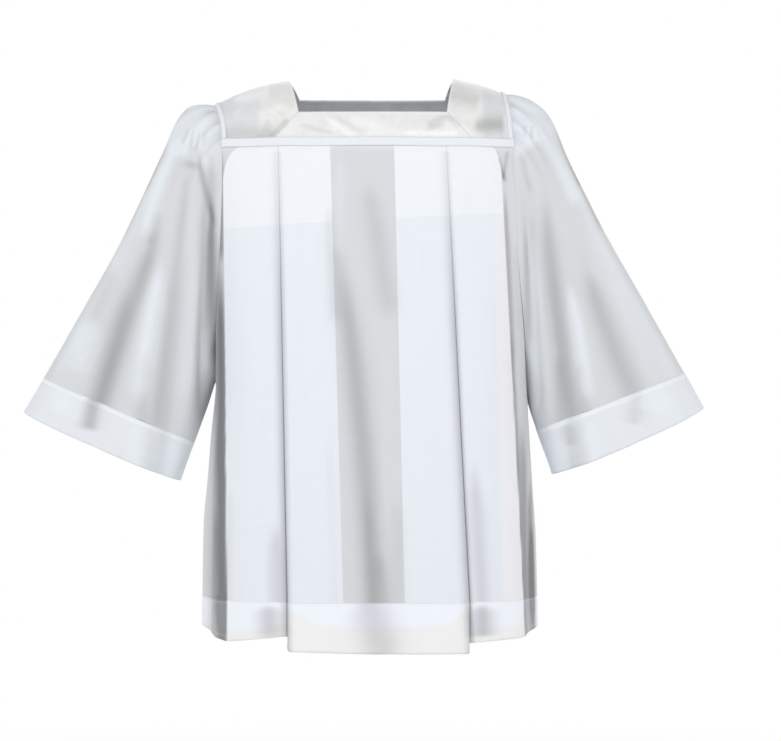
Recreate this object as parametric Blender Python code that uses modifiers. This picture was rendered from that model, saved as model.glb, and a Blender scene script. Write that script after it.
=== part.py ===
"""A square-yoke surplice with inverted box pleats, in the hollow shape it has when worn.

Metres, +Z up, the front towards -Y and the viewer's left towards -X. The origin is in the
middle of the neck, level with the tops of the shoulders, which hold the garment up.

Every piece of cloth is an open sheet, lofted through sections, with a Solidify modifier.
"""

import math
from collections import namedtuple

import bpy
from mathutils import Vector

OBJECT_NAME = "surplice"

# ---- Driving dimensions, in metres ---------------------------------------------------------

SEAM_GAP = 0.0003
SIDE_SEAM = 0.00018        # from the side seam's plane to the edge of each panel
MITRE_GAP = 0.0006         # from a mitre to the front or back band of the yoke
SHEER_CLOTH = 0.0010
DOUBLED_CLOTH = 0.0016
WELT_CLOTH = 0.0014

SEAM_HEIGHT = -0.1035      # where the pleated panels hang from the yoke
BAND_HEIGHT = -0.802       # top of the hem band
ROUNDNESS = 2.6            # exponent of the superellipse that each ring of the body follows
SIDE_START = 0.200         # distance from the middle where the panel starts to turn to the side

WELT_TOP = -0.0970
WELT_BOTTOM = -0.1100
WELT_LIFT = 0.0022         # from the middle of the yoke's cloth to the middle of the welt
PIPING_WIDTH = 0.0065
PIPING_INSET = 0.0006      # from the edge of the yoke to the edge of the piping
WELT_END = 0.003           # radians round the ring, from the armhole to the end of a welt

NECK_FRONT = -0.0575       # height of the front edge of the neck
NECK_BACK = -0.0240

ARMHOLE_EDGE = 0.075       # how far the armhole opens, forwards and backwards, at the yoke
ARMHOLE_CURVE = (2.2, 0.75)   # exponents that round it off towards the underarm
SLEEVE_SHIFT = 0.0012      # seam between the armhole and the sleeve, wider below the arm
UNDERARM_SHIFT = 0.0030
CUFF_GAP = 0.0004          # between the sleeve and its cuff band

# Half widths and depths of the body at each height.
Ring = namedtuple("Ring", "height left right front back")
RINGS = (
    Ring(-0.095, 0.2640, 0.2565, 0.115, 0.120),
    Ring(-0.200, 0.2540, 0.2505, 0.122, 0.128),
    Ring(-0.300, 0.2470, 0.2460, 0.127, 0.128),
    Ring(-0.400, 0.2420, 0.2450, 0.131, 0.127),
    Ring(-0.471, 0.2390, 0.2440, 0.134, 0.128),
    Ring(-0.560, 0.2475, 0.2500, 0.138, 0.132),
    Ring(-0.650, 0.2548, 0.2572, 0.143, 0.139),
    Ring(-0.750, 0.2567, 0.2598, 0.149, 0.148),
    Ring(-0.850, 0.2574, 0.2605, 0.155, 0.156),
    Ring(-0.890, 0.2574, 0.2605, 0.157, 0.159),
)

# Heights of the rows of a panel, from the yoke to the band. The underarms are among them.
PANEL_ROWS = (SEAM_HEIGHT, -0.150, -0.210, -0.270, -0.330, -0.385, -0.432,
              -0.471, -0.505, -0.570, -0.645, -0.725, BAND_HEIGHT)
BAND_ROWS = 2

# The two inverted box pleats of each panel: where the folds meet, and how far the hidden
# layers reach to each side, at the yoke and at the hem.
Pleat = namedtuple("Pleat", "facing top hem left_top left_hem right_top right_hem")
PLEATS = (
    Pleat("front", -0.139, -0.123, 0.0815, 0.0945, 0.0820, 0.0880),
    Pleat("front", 0.122, 0.156, 0.0800, 0.1030, 0.0820, 0.0860),
    Pleat("back", -0.134, -0.144, 0.0800, 0.0930, 0.0820, 0.0930),
    Pleat("back", 0.130, 0.146, 0.0820, 0.0920, 0.0800, 0.0930),
)
LAYER_TOP = 0.0019         # from one layer of a pleat to the next, at the yoke
LAYER_HEM = 0.0055
FOLD_GAP_TOP = 0.0012      # between the two folds that meet
FOLD_GAP_HEM = 0.0065
CENTRE_LIFT_HEM = 0.0060   # how far the middle of a panel stands proud of its sides, at the hem
PLEAT_DROP = 0.2           # share of a pleat's cloth over which its hem drops to the middle's

# Height of the hem along the outer layers. Panel 0 is left of the pleats, 1 between, 2 right.
HemPoint = namedtuple("HemPoint", "panel x height")
HEM = (
    HemPoint(0, -0.2600, -0.846),
    HemPoint(0, -0.2360, -0.860),
    HemPoint(0, -0.2180, -0.865),
    HemPoint(0, -0.1300, -0.854),
    HemPoint(1, -0.1300, -0.876),
    HemPoint(1, 0.0000, -0.879),
    HemPoint(1, 0.1600, -0.880),
    HemPoint(2, 0.1500, -0.864),
    HemPoint(2, 0.2400, -0.860),
    HemPoint(2, 0.2640, -0.846),
)

# Each side of the yoke and its sleeve. Places are (distance from the middle, height).
Side = namedtuple(
    "Side",
    "name sign neck_ridge neck_front neck_back mitre_front mitre_back"
    " shoulder corner ridge_height ridge_slope ridge_bulge underarm"
    " top_line cuff_top cuff_hem cuff_bow",
)
SIDES = (
    Side(
        name="left", sign=-1, neck_ridge=0.1295, neck_front=0.1080, neck_back=0.1120,
        mitre_front=0.1520, mitre_back=0.1660, shoulder=0.2418, corner=0.2265,
        ridge_height=-0.0019, ridge_slope=0.334, ridge_bulge=0.006, underarm=-0.471,
        top_line=((0.2418, -0.0394), (0.2590, -0.0362), (0.2777, -0.0394), (0.2933, -0.0519),
                  (0.3057, -0.0721), (0.3167, -0.0987), (0.3447, -0.1611), (0.3931, -0.2609),
                  (0.4500, -0.3620), (0.5070, -0.4621), (0.5382, -0.5167)),
        cuff_top=0.2735, cuff_hem=(0.2964, -0.6228), cuff_bow=0.003,
    ),
    Side(
        name="right", sign=1, neck_ridge=0.1326, neck_front=0.1180, neck_back=0.1180,
        mitre_front=0.1610, mitre_back=0.1680, shoulder=0.2106, corner=0.2200,
        ridge_height=0.0012, ridge_slope=0.300, ridge_bulge=0.002, underarm=-0.505,
        top_line=((0.2106, -0.0222), (0.2330, -0.0222), (0.2543, -0.0331), (0.2736, -0.0487),
                  (0.2892, -0.0745), (0.3086, -0.1227), (0.3396, -0.1848), (0.3713, -0.2453),
                  (0.4300, -0.3480), (0.4899, -0.4543), (0.5195, -0.5089)),
        cuff_top=0.2593, cuff_hem=(0.2839, -0.6119), cuff_bow=0.007,
    ),
)
SLEEVE_DEPTH_TOP = 0.082   # half depth of the sleeve near the shoulder and at the cuff
SLEEVE_DEPTH_CUFF = 0.077
OVAL_POWER = 0.85          # below 1, the sleeve's oval is a little square
OVAL_TAPER = 0.25          # how much shallower it gets towards its inner line
SLEEVE_ROWS = (0.0, 0.03, 0.06, 0.10, 0.15, 0.21, 0.29, 0.38, 0.48, 0.59, 0.71, 0.85, 1.0)
SLEEVE_JOIN = 0.42         # share of the sleeve over which its armhole turns into an oval
HEAD_JOIN = 0.08           # the same on the shoulder
HEAD_REACH = 0.2           # how far round the oval from the shoulder that is so
UNDERARM_REACH = 0.25      # how far round the oval the wider seam starts, from the underarm
CUFF_ROWS = 2

# Small tucks at the head of the sleeve, from the shoulder down to the corner of the yoke.
TUCK_DEPTHS = (0.0028, 0.0045, 0.0072, 0.0064)
TUCK_COLUMNS = 4
TUCK_LENGTH = 0.34         # share of the sleeve that the tucks run down
TUCK_START = 0.25          # share of its depth that a tuck has at the seam
TUCK_RISE = 0.2            # share of its length over which it gains the rest

# Large soft folds: a line over the surface seen from one direction, from (across, height) to
# (across, height), with the width of the fold and its rise, which is below zero in a trough.
Fold = namedtuple("Fold", "toward across height end_across end_height width rise")
FOLDS = (
    Fold("front", -0.335, -0.190, -0.425, -0.560, 0.022, -0.011),
    Fold("front", -0.300, -0.240, -0.362, -0.640, 0.017, 0.008),
    Fold("front", -0.262, -0.200, -0.318, -0.640, 0.014, -0.008),
    Fold("front", -0.246, -0.120, -0.256, -0.470, 0.010, -0.014),
    Fold("front", 0.318, -0.170, 0.420, -0.560, 0.024, -0.010),
    Fold("front", 0.285, -0.220, 0.348, -0.640, 0.016, 0.009),
    Fold("front", 0.255, -0.190, 0.312, -0.640, 0.013, -0.008),
    Fold("front", 0.238, -0.120, 0.256, -0.480, 0.010, -0.012),
    Fold("back", -0.320, -0.180, -0.440, -0.560, 0.024, -0.011),
    Fold("back", -0.275, -0.220, -0.350, -0.640, 0.018, 0.008),
    Fold("back", 0.310, -0.200, 0.405, -0.560, 0.022, -0.010),
    Fold("back", 0.270, -0.230, 0.338, -0.640, 0.017, 0.009),
    Fold("left", -0.046, -0.560, -0.058, -0.900, 0.020, -0.007),
    Fold("left", 0.004, -0.600, 0.008, -0.900, 0.018, 0.004),
    Fold("left", 0.052, -0.540, 0.066, -0.900, 0.021, -0.008),
    Fold("right", -0.050, -0.580, -0.066, -0.900, 0.022, -0.008),
    Fold("right", 0.010, -0.620, 0.004, -0.900, 0.018, 0.003),
    Fold("right", 0.048, -0.560, 0.060, -0.900, 0.020, -0.007),
)
FADE_IN = 0.33             # share of a fold's length over which it starts
FADE_OUT = 0.25            # and over which it runs out past its end
SLEEVE_FADE = 0.1          # share of the sleeve over which they start below its seam
TOWARD = {
    "front": Vector((0, -1, 0)),
    "back": Vector((0, 1, 0)),
    "left": Vector((-1, 0, 0)),
    "right": Vector((1, 0, 0)),
}

# Counts of faces along the pieces.
TURN_STEPS = 3
SIDE_STEPS = 5
PANEL_STEPS = 4
CENTRE_STEPS = 7
HIDDEN_STEPS = 2
UNDERLAY_STEPS = 4
YOKE_STEPS = 12
YOKE_ROWS = 4
SHOULDER_STEPS = 4
SHOULDER_ROWS = 20
SHOULDER_STOPS = (0.2, 0.5, 0.7)   # front neck corner, top and back neck corner, as shares
WELT_STEPS = 16
PIPING_ROWS = 16

# Base colour (linear), roughness.
Finish = namedtuple("Finish", "colour roughness")
SHEER = Finish((0.72, 0.74, 0.78), 0.75)
SATIN = Finish((0.84, 0.83, 0.82), 0.45)
BAND = Finish((0.80, 0.83, 0.90), 0.70)
WELT = Finish((0.92, 0.93, 0.95), 0.55)


# ---- Curves and sheets ---------------------------------------------------------------------

def blend(start, end, share):
    return start + (end - start) * share


def smooth_step(share):
    share = min(max(share, 0.0), 1.0)
    return share * share * (3 - 2 * share)


def on_curve(keys, values, key):
    """The value at a key, on a smooth curve through the values. The keys rise or fall throughout."""
    sign = 1 if keys[-1] > keys[0] else -1
    last = len(keys) - 1
    slopes = []
    for i in range(last + 1):
        low, high = max(i - 1, 0), min(i + 1, last)
        slopes.append((values[high] - values[low]) / (keys[high] - keys[low]))
    if (key - keys[0]) * sign <= 0:
        return values[0] + slopes[0] * (key - keys[0])
    if (key - keys[last]) * sign >= 0:
        return values[last] + slopes[last] * (key - keys[last])
    i = max(i for i in range(last) if (key - keys[i]) * sign >= 0)
    span = keys[i + 1] - keys[i]
    t = (key - keys[i]) / span
    return (
        values[i] * (1 + 2 * t) * (1 - t) ** 2
        + slopes[i] * span * t * (1 - t) ** 2
        + values[i + 1] * t * t * (3 - 2 * t)
        + slopes[i + 1] * span * t * t * (t - 1)
    )


def sheet_object(name, grid, thickness, finish, collection, closed=False):
    """An open sheet through a grid of points, row by row, made a wall by Solidify.

    Columns run so that the cross product of a row's direction and the way down points out.
    """
    columns = len(grid[0])
    faces = []
    for i in range(len(grid) - 1):
        for j in range(columns if closed else columns - 1):
            k = (j + 1) % columns
            faces.append((i * columns + j, (i + 1) * columns + j,
                          (i + 1) * columns + k, i * columns + k))
    mesh = bpy.data.meshes.new(name)
    mesh.from_pydata([point for row in grid for point in row], [], faces)
    mesh.shade_smooth()
    material = bpy.data.materials.new(name)
    material.use_nodes = True
    shader = material.node_tree.nodes["Principled BSDF"]
    shader.inputs["Base Color"].default_value = (*finish.colour, 1)
    shader.inputs["Roughness"].default_value = finish.roughness
    mesh.materials.append(material)
    sheet = bpy.data.objects.new(name, mesh)
    collection.objects.link(sheet)
    wall = sheet.modifiers.new("Cloth wall", "SOLIDIFY")
    wall.thickness = thickness
    wall.offset = 0
    wall.use_even_offset = True
    wall.use_quality_normals = True
    return sheet


def grid_normals(grid, closed):
    """The outward direction at each point of a grid."""
    last_row, columns = len(grid) - 1, len(grid[0])
    normals = []
    for i, row in enumerate(grid):
        line = []
        for j in range(columns):
            before = (j - 1) % columns if closed else max(j - 1, 0)
            after = (j + 1) % columns if closed else min(j + 1, columns - 1)
            across = row[after] - row[before]
            down = grid[min(i + 1, last_row)][j] - grid[max(i - 1, 0)][j]
            line.append(down.cross(across).normalized())
        normals.append(line)
    return normals


def fold_rise(point, normal):
    """How far the large folds move a point of the cloth outwards."""
    total = 0.0
    for fold in FOLDS:
        facing = normal.dot(TOWARD[fold.toward])
        if facing <= 0:
            continue
        across = point.x if fold.toward in ("front", "back") else point.y
        run = Vector((fold.end_across - fold.across, fold.end_height - fold.height))
        offset = Vector((across - fold.across, point.z - fold.height))
        along = offset.dot(run) / run.length_squared
        away = abs(run.x * offset.y - run.y * offset.x) / run.length
        fade = smooth_step(along / FADE_IN) * smooth_step((1 + FADE_OUT - along) / FADE_OUT)
        total += fold.rise * facing * fade * math.exp(-((away / fold.width) ** 2))
    return total


def with_folds(grid, closed, share=lambda i, j: 1.0):
    normals = grid_normals(grid, closed)
    return [
        [
            point + normals[i][j] * fold_rise(point, normals[i][j]) * share(i, j)
            for j, point in enumerate(row)
        ]
        for i, row in enumerate(grid)
    ]


# ---- Body ----------------------------------------------------------------------------------

def ring_value(column, height):
    return on_curve([ring.height for ring in RINGS], [getattr(ring, column) for ring in RINGS],
                    height)


def half_width(sign, height):
    return ring_value("left" if sign < 0 else "right", height)


def angle_at(x, height):
    """The angle round the body's ring, from the middle of the panel, at a distance across."""
    share = min(abs(x) / half_width(x, height), 1.0)
    return math.copysign(math.asin(share ** (ROUNDNESS / 2)), x)


def ring_point(angle, depth, height, facing):
    """A point on the ring at a height, moved in by a depth, towards the middle of the body."""
    toward = TOWARD[facing].y
    half = half_width(angle, height)
    reach = ring_value(facing, height)
    across = math.copysign(abs(math.sin(angle)) ** (2 / ROUNDNESS), angle)
    forward = abs(math.cos(angle)) ** (2 / ROUNDNESS)
    out = Vector((
        math.copysign(abs(across) ** (ROUNDNESS - 1) / half, across),
        toward * forward ** (ROUNDNESS - 1) / reach,
        0,
    )).normalized()
    return Vector((half * across, toward * reach * forward, height)) - out * depth


def armhole_open(side, height):
    """How far forwards or backwards the armhole's edge stands, at a height. Nothing below it."""
    share = (SEAM_HEIGHT - height) / (SEAM_HEIGHT - side.underarm)
    if share >= 1:
        return 0.0
    inner, outer = ARMHOLE_CURVE
    return ARMHOLE_EDGE * (1 - max(share, 0.0) ** inner) ** outer


def edge_angle(side, height, facing):
    """The angle round the ring where a panel ends: at the armhole, or at the side seam."""
    reach = ring_value(facing, height)
    across = max(armhole_open(side, height), SIDE_SEAM)
    return side.sign * math.acos((across / reach) ** (ROUNDNESS / 2))


def turn(edge, start_depth, end_depth, toward):
    """Points round a fold of the cloth, from one depth to another, out to an edge."""
    radius = abs(end_depth - start_depth) / 2
    points = []
    for i in range(TURN_STEPS + 1):
        angle = math.pi * (i / TURN_STEPS - 0.5)
        x = edge - toward * radius * (1 - math.cos(angle))
        points.append((x, blend(start_depth, end_depth, (1 + math.sin(angle)) / 2)))
    return points


def between(start, end, steps):
    """Points between two (x, depth) points, without either of them."""
    return [
        (blend(start[0], end[0], i / steps), blend(start[1], end[1], i / steps))
        for i in range(1, steps)
    ]


def pleat_path(pleat, height, left_depth, right_depth):
    """(x, depth) points through one inverted box pleat, from its left fold to its right one."""
    share = (SEAM_HEIGHT - height) / (SEAM_HEIGHT - RINGS[-1].height)
    middle = blend(pleat.top, pleat.hem, share)
    gap = blend(FOLD_GAP_TOP, FOLD_GAP_HEM, share) / 2
    layer = blend(LAYER_TOP, LAYER_HEM, share)
    left_end = middle - blend(pleat.left_top, pleat.left_hem, share)
    right_end = middle + blend(pleat.right_top, pleat.right_hem, share)
    turns = (
        turn(middle - gap, left_depth, layer, 1),
        turn(left_end, layer, 2 * layer, -1),
        turn(right_end, 2 * layer, layer, 1),
        turn(middle + gap, layer, right_depth, -1),
    )
    steps = (HIDDEN_STEPS, UNDERLAY_STEPS, HIDDEN_STEPS)
    path = list(turns[0])
    for before, after, count in zip(turns, turns[1:], steps):
        path += between(before[-1], after[0], count) + after
    return path


def panel_path(facing, height):
    """A whole row of a panel: (panel number or share of a pleat, x, depth) between its sides."""
    first, second = (pleat for pleat in PLEATS if pleat.facing == facing)
    share = (SEAM_HEIGHT - height) / (SEAM_HEIGHT - RINGS[-1].height)
    lift = -CENTRE_LIFT_HEM * share
    pleats = pleat_path(first, height, 0.0, lift), pleat_path(second, height, lift, 0.0)
    left = [(-SIDE_START, 0.0)] + between((-SIDE_START, 0.0), pleats[0][0], PANEL_STEPS)
    middle = between(pleats[0][-1], pleats[1][0], CENTRE_STEPS)
    right = between(pleats[1][-1], (SIDE_START, 0.0), PANEL_STEPS) + [(SIDE_START, 0.0)]
    path = [(0.0, x, depth) for x, depth in left]
    for number, (pleat, after) in enumerate(zip(pleats, (middle, right))):
        last = len(pleat) - 1
        path += [(number + i / last, x, depth) for i, (x, depth) in enumerate(pleat)]
        path += [(number + 1.0, x, depth) for x, depth in after]
    return path


def hem_on_panel(panel, x):
    points = [point for point in HEM if point.panel == panel]
    x = min(max(x, points[0].x), points[-1].x)
    for start, end in zip(points, points[1:]):
        if x <= end.x:
            return blend(start.height, end.height, (x - start.x) / (end.x - start.x))
    return points[-1].height


def hem_height(panel, x):
    """The hem's height on an outer layer, or part of the way through a pleat between two."""
    if panel == int(panel):
        return hem_on_panel(int(panel), x)
    start, part = int(panel), panel - int(panel)
    # The hidden layers are as short as the outer panel, and drop behind the middle one.
    drop = smooth_step(1 - (1 - part if start == 0 else part) / PLEAT_DROP)
    outer = hem_on_panel(0 if start == 0 else 2, x)
    return blend(outer, hem_on_panel(1, x), drop)


def side_of_row(side, facing, height, hem_share):
    """Points from the armhole or the side seam to where the panel's pleated front starts."""
    start = side.sign * SIDE_START
    outer = side.sign * half_width(side.sign, height)
    points = []
    for i in range(SIDE_STEPS):
        share = i / SIDE_STEPS
        # Near the side seam, an equal turn round the ring covers less of the width.
        hem = hem_on_panel(0 if side.sign < 0 else 2, blend(outer, start, share ** 2))
        place = blend(height, hem, hem_share)
        angle = blend(edge_angle(side, place, facing), angle_at(start, place), share)
        points.append(ring_point(angle, 0.0, place, facing))
    return points


def panel_row(facing, height, hem_share=0.0):
    """A row of points round a panel. In the band, a share of 1 is the hem itself."""
    left, right = SIDES
    row = side_of_row(left, facing, height, hem_share)
    for panel, x, depth in panel_path(facing, height):
        place = blend(height, hem_height(panel, x), hem_share)
        row.append(ring_point(angle_at(x, place), depth, place, facing))
    row += side_of_row(right, facing, height, hem_share)[::-1]
    # Seen from outside, a row runs to the viewer's right on the front, and back again behind.
    return row if facing == "front" else row[::-1]


def side_share(column, columns):
    """The large folds move only the sides of a panel, clear of its pleats."""
    from_end = min(column, columns - 1 - column)
    return smooth_step(1 - from_end / (SIDE_STEPS + 1))


def body_panel(facing, collection):
    heights = list(PANEL_ROWS)
    heights[-1] += SEAM_GAP / 2
    heights[0] -= SEAM_GAP / 2
    rows = [panel_row(facing, height) for height in heights]
    top = BAND_HEIGHT - SEAM_GAP / 2
    rows += [panel_row(facing, top, i / BAND_ROWS) for i in range(BAND_ROWS + 1)]
    columns = len(rows[0])
    rows = with_folds(rows, False, lambda i, j: side_share(j, columns))
    split = len(heights)
    sheet_object(f"body_{facing}", rows[:split], SHEER_CLOTH, SHEER, collection)
    sheet_object(f"hem_band_{facing}", rows[split:], DOUBLED_CLOTH, BAND, collection)


# ---- Yoke ----------------------------------------------------------------------------------

def ridge_height(side, x):
    """Height of the top of the shoulder, a little rounded between the neck and the sleeve."""
    out = max(abs(x) - side.neck_ridge, 0.0)
    share = min(out / (side.shoulder - side.neck_ridge), 1.0)
    bulge = side.ridge_bulge * 4 * share * (1 - share)
    return side.ridge_height - side.ridge_slope * out + bulge


def yoke_angle(side, x, height):
    """The angle forwards from the top of the shoulder where the yoke passes a height."""
    return math.acos((height - SEAM_HEIGHT) / (ridge_height(side, x) - SEAM_HEIGHT))


def yoke_point(side, distance, angle, lift=0.0):
    """A point of the yoke. The angle is 0 on the shoulder, -90 degrees at the front seam."""
    facing = "front" if angle < 0 else "back"
    half = half_width(side.sign, SEAM_HEIGHT)
    narrowed = (1 - (distance / half) ** ROUNDNESS) ** (1 / ROUNDNESS)
    reach = ring_value(facing, SEAM_HEIGHT) * narrowed
    rise = ridge_height(side, distance) - SEAM_HEIGHT
    out = Vector((0, math.sin(angle) / reach, math.cos(angle) / rise)).normalized()
    point = Vector((
        side.sign * distance,
        reach * math.sin(angle),
        SEAM_HEIGHT + rise * math.cos(angle),
    ))
    return point + out * lift


def armhole_distance(side, angle):
    """Distance from the middle to the outer edge of the yoke, at an angle over the shoulder."""
    return blend(side.shoulder, side.corner, math.sin(angle) ** 2)


def neck_and_mitre(side, share):
    """The inner edge of a shoulder band: distance and angle, from front seam to back seam."""
    low = SEAM_HEIGHT + SEAM_GAP / 2
    front, top, back = SHOULDER_STOPS
    if share <= front:
        part = share / front
        distance = blend(side.mitre_front, side.neck_front, part)
        return distance, -yoke_angle(side, distance, blend(low, NECK_FRONT, part))
    if share >= back:
        part = (share - back) / (1 - back)
        distance = blend(side.neck_back, side.mitre_back, part)
        return distance, yoke_angle(side, distance, blend(NECK_BACK, low, part))
    if share <= top:
        part = (top - share) / (top - front)
        angle = yoke_angle(side, side.neck_front, NECK_FRONT)
        return blend(side.neck_ridge, side.neck_front, part), -angle * part
    part = (share - top) / (back - top)
    angle = yoke_angle(side, side.neck_back, NECK_BACK)
    return blend(side.neck_ridge, side.neck_back, part), angle * part


def shoulder_band(side, collection):
    limit = yoke_angle(side, side.corner, SEAM_HEIGHT + SEAM_GAP / 2)
    rows = []
    for i in range(SHOULDER_ROWS + 1):
        share = i / SHOULDER_ROWS
        distance, angle = neck_and_mitre(side, share)
        outer_angle = blend(-limit, limit, share)
        outer = armhole_distance(side, outer_angle)
        rows.append([
            yoke_point(side, blend(distance + SEAM_GAP, outer, j / SHOULDER_STEPS),
                       blend(angle, outer_angle, j / SHOULDER_STEPS))
            for j in range(SHOULDER_STEPS + 1)
        ])
    if side.sign > 0:
        rows = rows[::-1]
    sheet_object(f"yoke_shoulder_{side.name}", rows, DOUBLED_CLOTH, SATIN, collection)


def yoke_band(facing, collection):
    """The band below the neck, front or back, between its two mitres."""
    left, right = SIDES
    neck = NECK_FRONT if facing == "front" else NECK_BACK
    rows = []
    for i in range(YOKE_ROWS + 1):
        share = i / YOKE_ROWS
        height = blend(neck, SEAM_HEIGHT + SEAM_GAP / 2, share)
        start, end = (
            side.sign * (blend(getattr(side, f"neck_{facing}"),
                               getattr(side, f"mitre_{facing}"), share) - MITRE_GAP)
            for side in SIDES
        )
        row = []
        for j in range(YOKE_STEPS + 1):
            x = blend(start, end, j / YOKE_STEPS)
            side = left if x < 0 else right
            angle = TOWARD[facing].y * yoke_angle(side, abs(x), height)
            row.append(yoke_point(side, abs(x), angle))
        rows.append(row if facing == "front" else row[::-1])
    sheet_object(f"yoke_{facing}", rows, DOUBLED_CLOTH, SATIN, collection)


def yoke_welt(facing, collection):
    """The narrow band over the seam between the yoke and the heads of the pleats."""
    start, end = (
        edge_angle(side, SEAM_HEIGHT, facing) - side.sign * WELT_END for side in SIDES
    )
    rows = []
    for height in (WELT_TOP, SEAM_HEIGHT, WELT_BOTTOM):
        row = [
            ring_point(blend(start, end, i / WELT_STEPS), -WELT_LIFT, SEAM_HEIGHT, facing)
            for i in range(WELT_STEPS + 1)
        ]
        for point in row:
            point.z = height
        rows.append(row if facing == "front" else row[::-1])
    sheet_object(f"yoke_welt_{facing}", rows, WELT_CLOTH, WELT, collection)


def armhole_piping(side, collection):
    """The narrow ridge along the outer edge of the yoke, over the shoulder."""
    limit = yoke_angle(side, side.corner, WELT_TOP + 2 * SEAM_GAP)
    rows = []
    for i in range(PIPING_ROWS + 1):
        angle = blend(-limit, limit, i / PIPING_ROWS)
        outer = armhole_distance(side, angle) - PIPING_INSET
        rows.append([
            yoke_point(side, outer - PIPING_WIDTH * (1 - j / 2), angle, WELT_LIFT)
            for j in range(3)
        ])
    if side.sign > 0:
        rows = rows[::-1]
    sheet_object(f"armhole_piping_{side.name}", rows, WELT_CLOTH, WELT, collection)


# ---- Sleeves -------------------------------------------------------------------------------

def armhole_ring(side):
    """The armhole's edge: over the yoke to its front corner, down to the underarm, and back up."""
    tucked = TUCK_COLUMNS * len(TUCK_DEPTHS)
    limit = yoke_angle(side, side.corner, SEAM_HEIGHT + SEAM_GAP / 2)
    halves = []
    for facing in ("front", "back"):
        toward = TOWARD[facing].y
        half = []
        for i in range(tucked):
            angle = toward * limit * i / tucked
            half.append(yoke_point(side, armhole_distance(side, angle), angle))
        for height in PANEL_ROWS:
            if height >= side.underarm:
                angle = edge_angle(side, height, facing)
                half.append(ring_point(angle, 0.0, height, facing))
        halves.append(half)
    front, back = halves
    front[-1].y = 0.0
    return front + back[-2:0:-1]


def top_line_point(side, share):
    """A point of the sleeve's outer line, seen from the front."""
    places = [Vector(place) for place in side.top_line]
    lengths = [0.0]
    for start, end in zip(places, places[1:]):
        lengths.append(lengths[-1] + (end - start).length)
    at = share * lengths[-2]
    return Vector((
        on_curve(lengths, [place.x for place in places], at),
        on_curve(lengths, [place.y for place in places], at),
    ))


def low_line_point(side, share):
    """A point of the sleeve's inner line, straight from the underarm to the cuff."""
    start = Vector((half_width(side.sign, side.underarm), side.underarm))
    end = Vector(side.cuff_hem)
    seam = (side.cuff_top - start.x) / (end.x - start.x)
    if share <= 1:
        return start.lerp(end, seam * share)
    return start.lerp(end, seam + (1 - seam) * (share - 1))


def sleeve_section(side, share, depth, station):
    """A point of an oval section: the station is 0 on the outer line and 1 on the inner one."""
    if share <= 1:
        top = top_line_point(side, share)
    else:
        top = top_line_point(side, 1.0).lerp(Vector(side.top_line[-1]), share - 1)
    low = low_line_point(side, share)
    place = top.lerp(low, (1 - math.cos(math.pi * station)) / 2)
    across = abs(math.sin(math.pi * station))
    place.y -= side.cuff_bow * across * max(share - 1, 0.0)
    out = depth * across ** OVAL_POWER * (1 - OVAL_TAPER * station)
    return Vector((side.sign * place.x, out, place.y))


def sleeve_rows(side):
    """Rows of the sleeve and then of the cuff, whose share runs from 1 to 2."""
    ring = armhole_ring(side)
    count = len(ring)
    lowest = count // 2
    path = [0.0]
    for start, end in zip(ring, ring[1:] + ring[:1]):
        path.append(path[-1] + (end - start).length)
    front_length, back_length = path[lowest], path[-1] - path[lowest]
    last = Vector(side.top_line[-1])
    gap = CUFF_GAP / (last - Vector(side.top_line[-2])).length
    shares = list(SLEEVE_ROWS)
    shares += [blend(1 + gap, 2.0, i / CUFF_ROWS) for i in range(CUFF_ROWS + 1)]
    rows = []
    for share in shares:
        depth = blend(SLEEVE_DEPTH_TOP, SLEEVE_DEPTH_CUFF, min(share, 1.0))
        row = []
        for j, edge in enumerate(ring):
            front = j <= lowest
            if front:
                station = path[j] / front_length
                even = j / lowest
            else:
                station = (path[-1] - path[j]) / back_length
                even = (count - j) / (count - lowest)
            station = blend(station, even, min(share, 1.0))
            oval = sleeve_section(side, share, -depth if front else depth, station)
            under = smooth_step(1 - (1 - station) / UNDERARM_REACH)
            shift = blend(SLEEVE_SHIFT, UNDERARM_SHIFT, under)
            start = edge + Vector((side.sign * shift, 0, 0))
            join = blend(HEAD_JOIN, SLEEVE_JOIN, smooth_step(station / HEAD_REACH))
            row.append(start.lerp(oval, smooth_step(share / join)))
        rows.append(row)
    return rows, shares


def tuck_depth(share, j, count):
    """How far a tuck at the sleeve's head sinks in, at a column of the sleeve."""
    column = min(j, count - j)
    number, place = divmod(column, TUCK_COLUMNS)
    if number >= len(TUCK_DEPTHS) or share >= TUCK_LENGTH:
        return 0.0
    along = share / TUCK_LENGTH
    run = blend(TUCK_START, 1.0, smooth_step(along / TUCK_RISE)) * (1 - smooth_step(along))
    return TUCK_DEPTHS[number] * run * math.sin(math.pi * place / TUCK_COLUMNS) ** 2


def sleeve_and_cuff(side, collection):
    rows, shares = sleeve_rows(side)
    count = len(rows[0])
    if side.sign > 0:
        rows = [[row[0]] + row[:0:-1] for row in rows]
    rows = with_folds(rows, True, lambda i, j: smooth_step(shares[i] / SLEEVE_FADE))
    normals = grid_normals(rows, True)
    for i, row in enumerate(rows):
        for j, point in enumerate(row):
            sink = normals[i][j] * tuck_depth(shares[i], j, count)
            if i == 0:
                sink.x = 0.0
            point -= sink
    split = len(SLEEVE_ROWS)
    sheet_object(f"sleeve_{side.name}", rows[:split], SHEER_CLOTH, SHEER, collection, True)
    sheet_object(f"cuff_band_{side.name}", rows[split:], DOUBLED_CLOTH, BAND, collection, True)


# ---- The whole garment ---------------------------------------------------------------------

def main():
    for old in list(bpy.data.objects):
        bpy.data.objects.remove(old, do_unlink=True)
    collection = bpy.data.collections.new(OBJECT_NAME)
    bpy.context.scene.collection.children.link(collection)
    for facing in ("front", "back"):
        body_panel(facing, collection)
        yoke_band(facing, collection)
        yoke_welt(facing, collection)
    for side in SIDES:
        shoulder_band(side, collection)
        armhole_piping(side, collection)
        sleeve_and_cuff(side, collection)


main()
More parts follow.
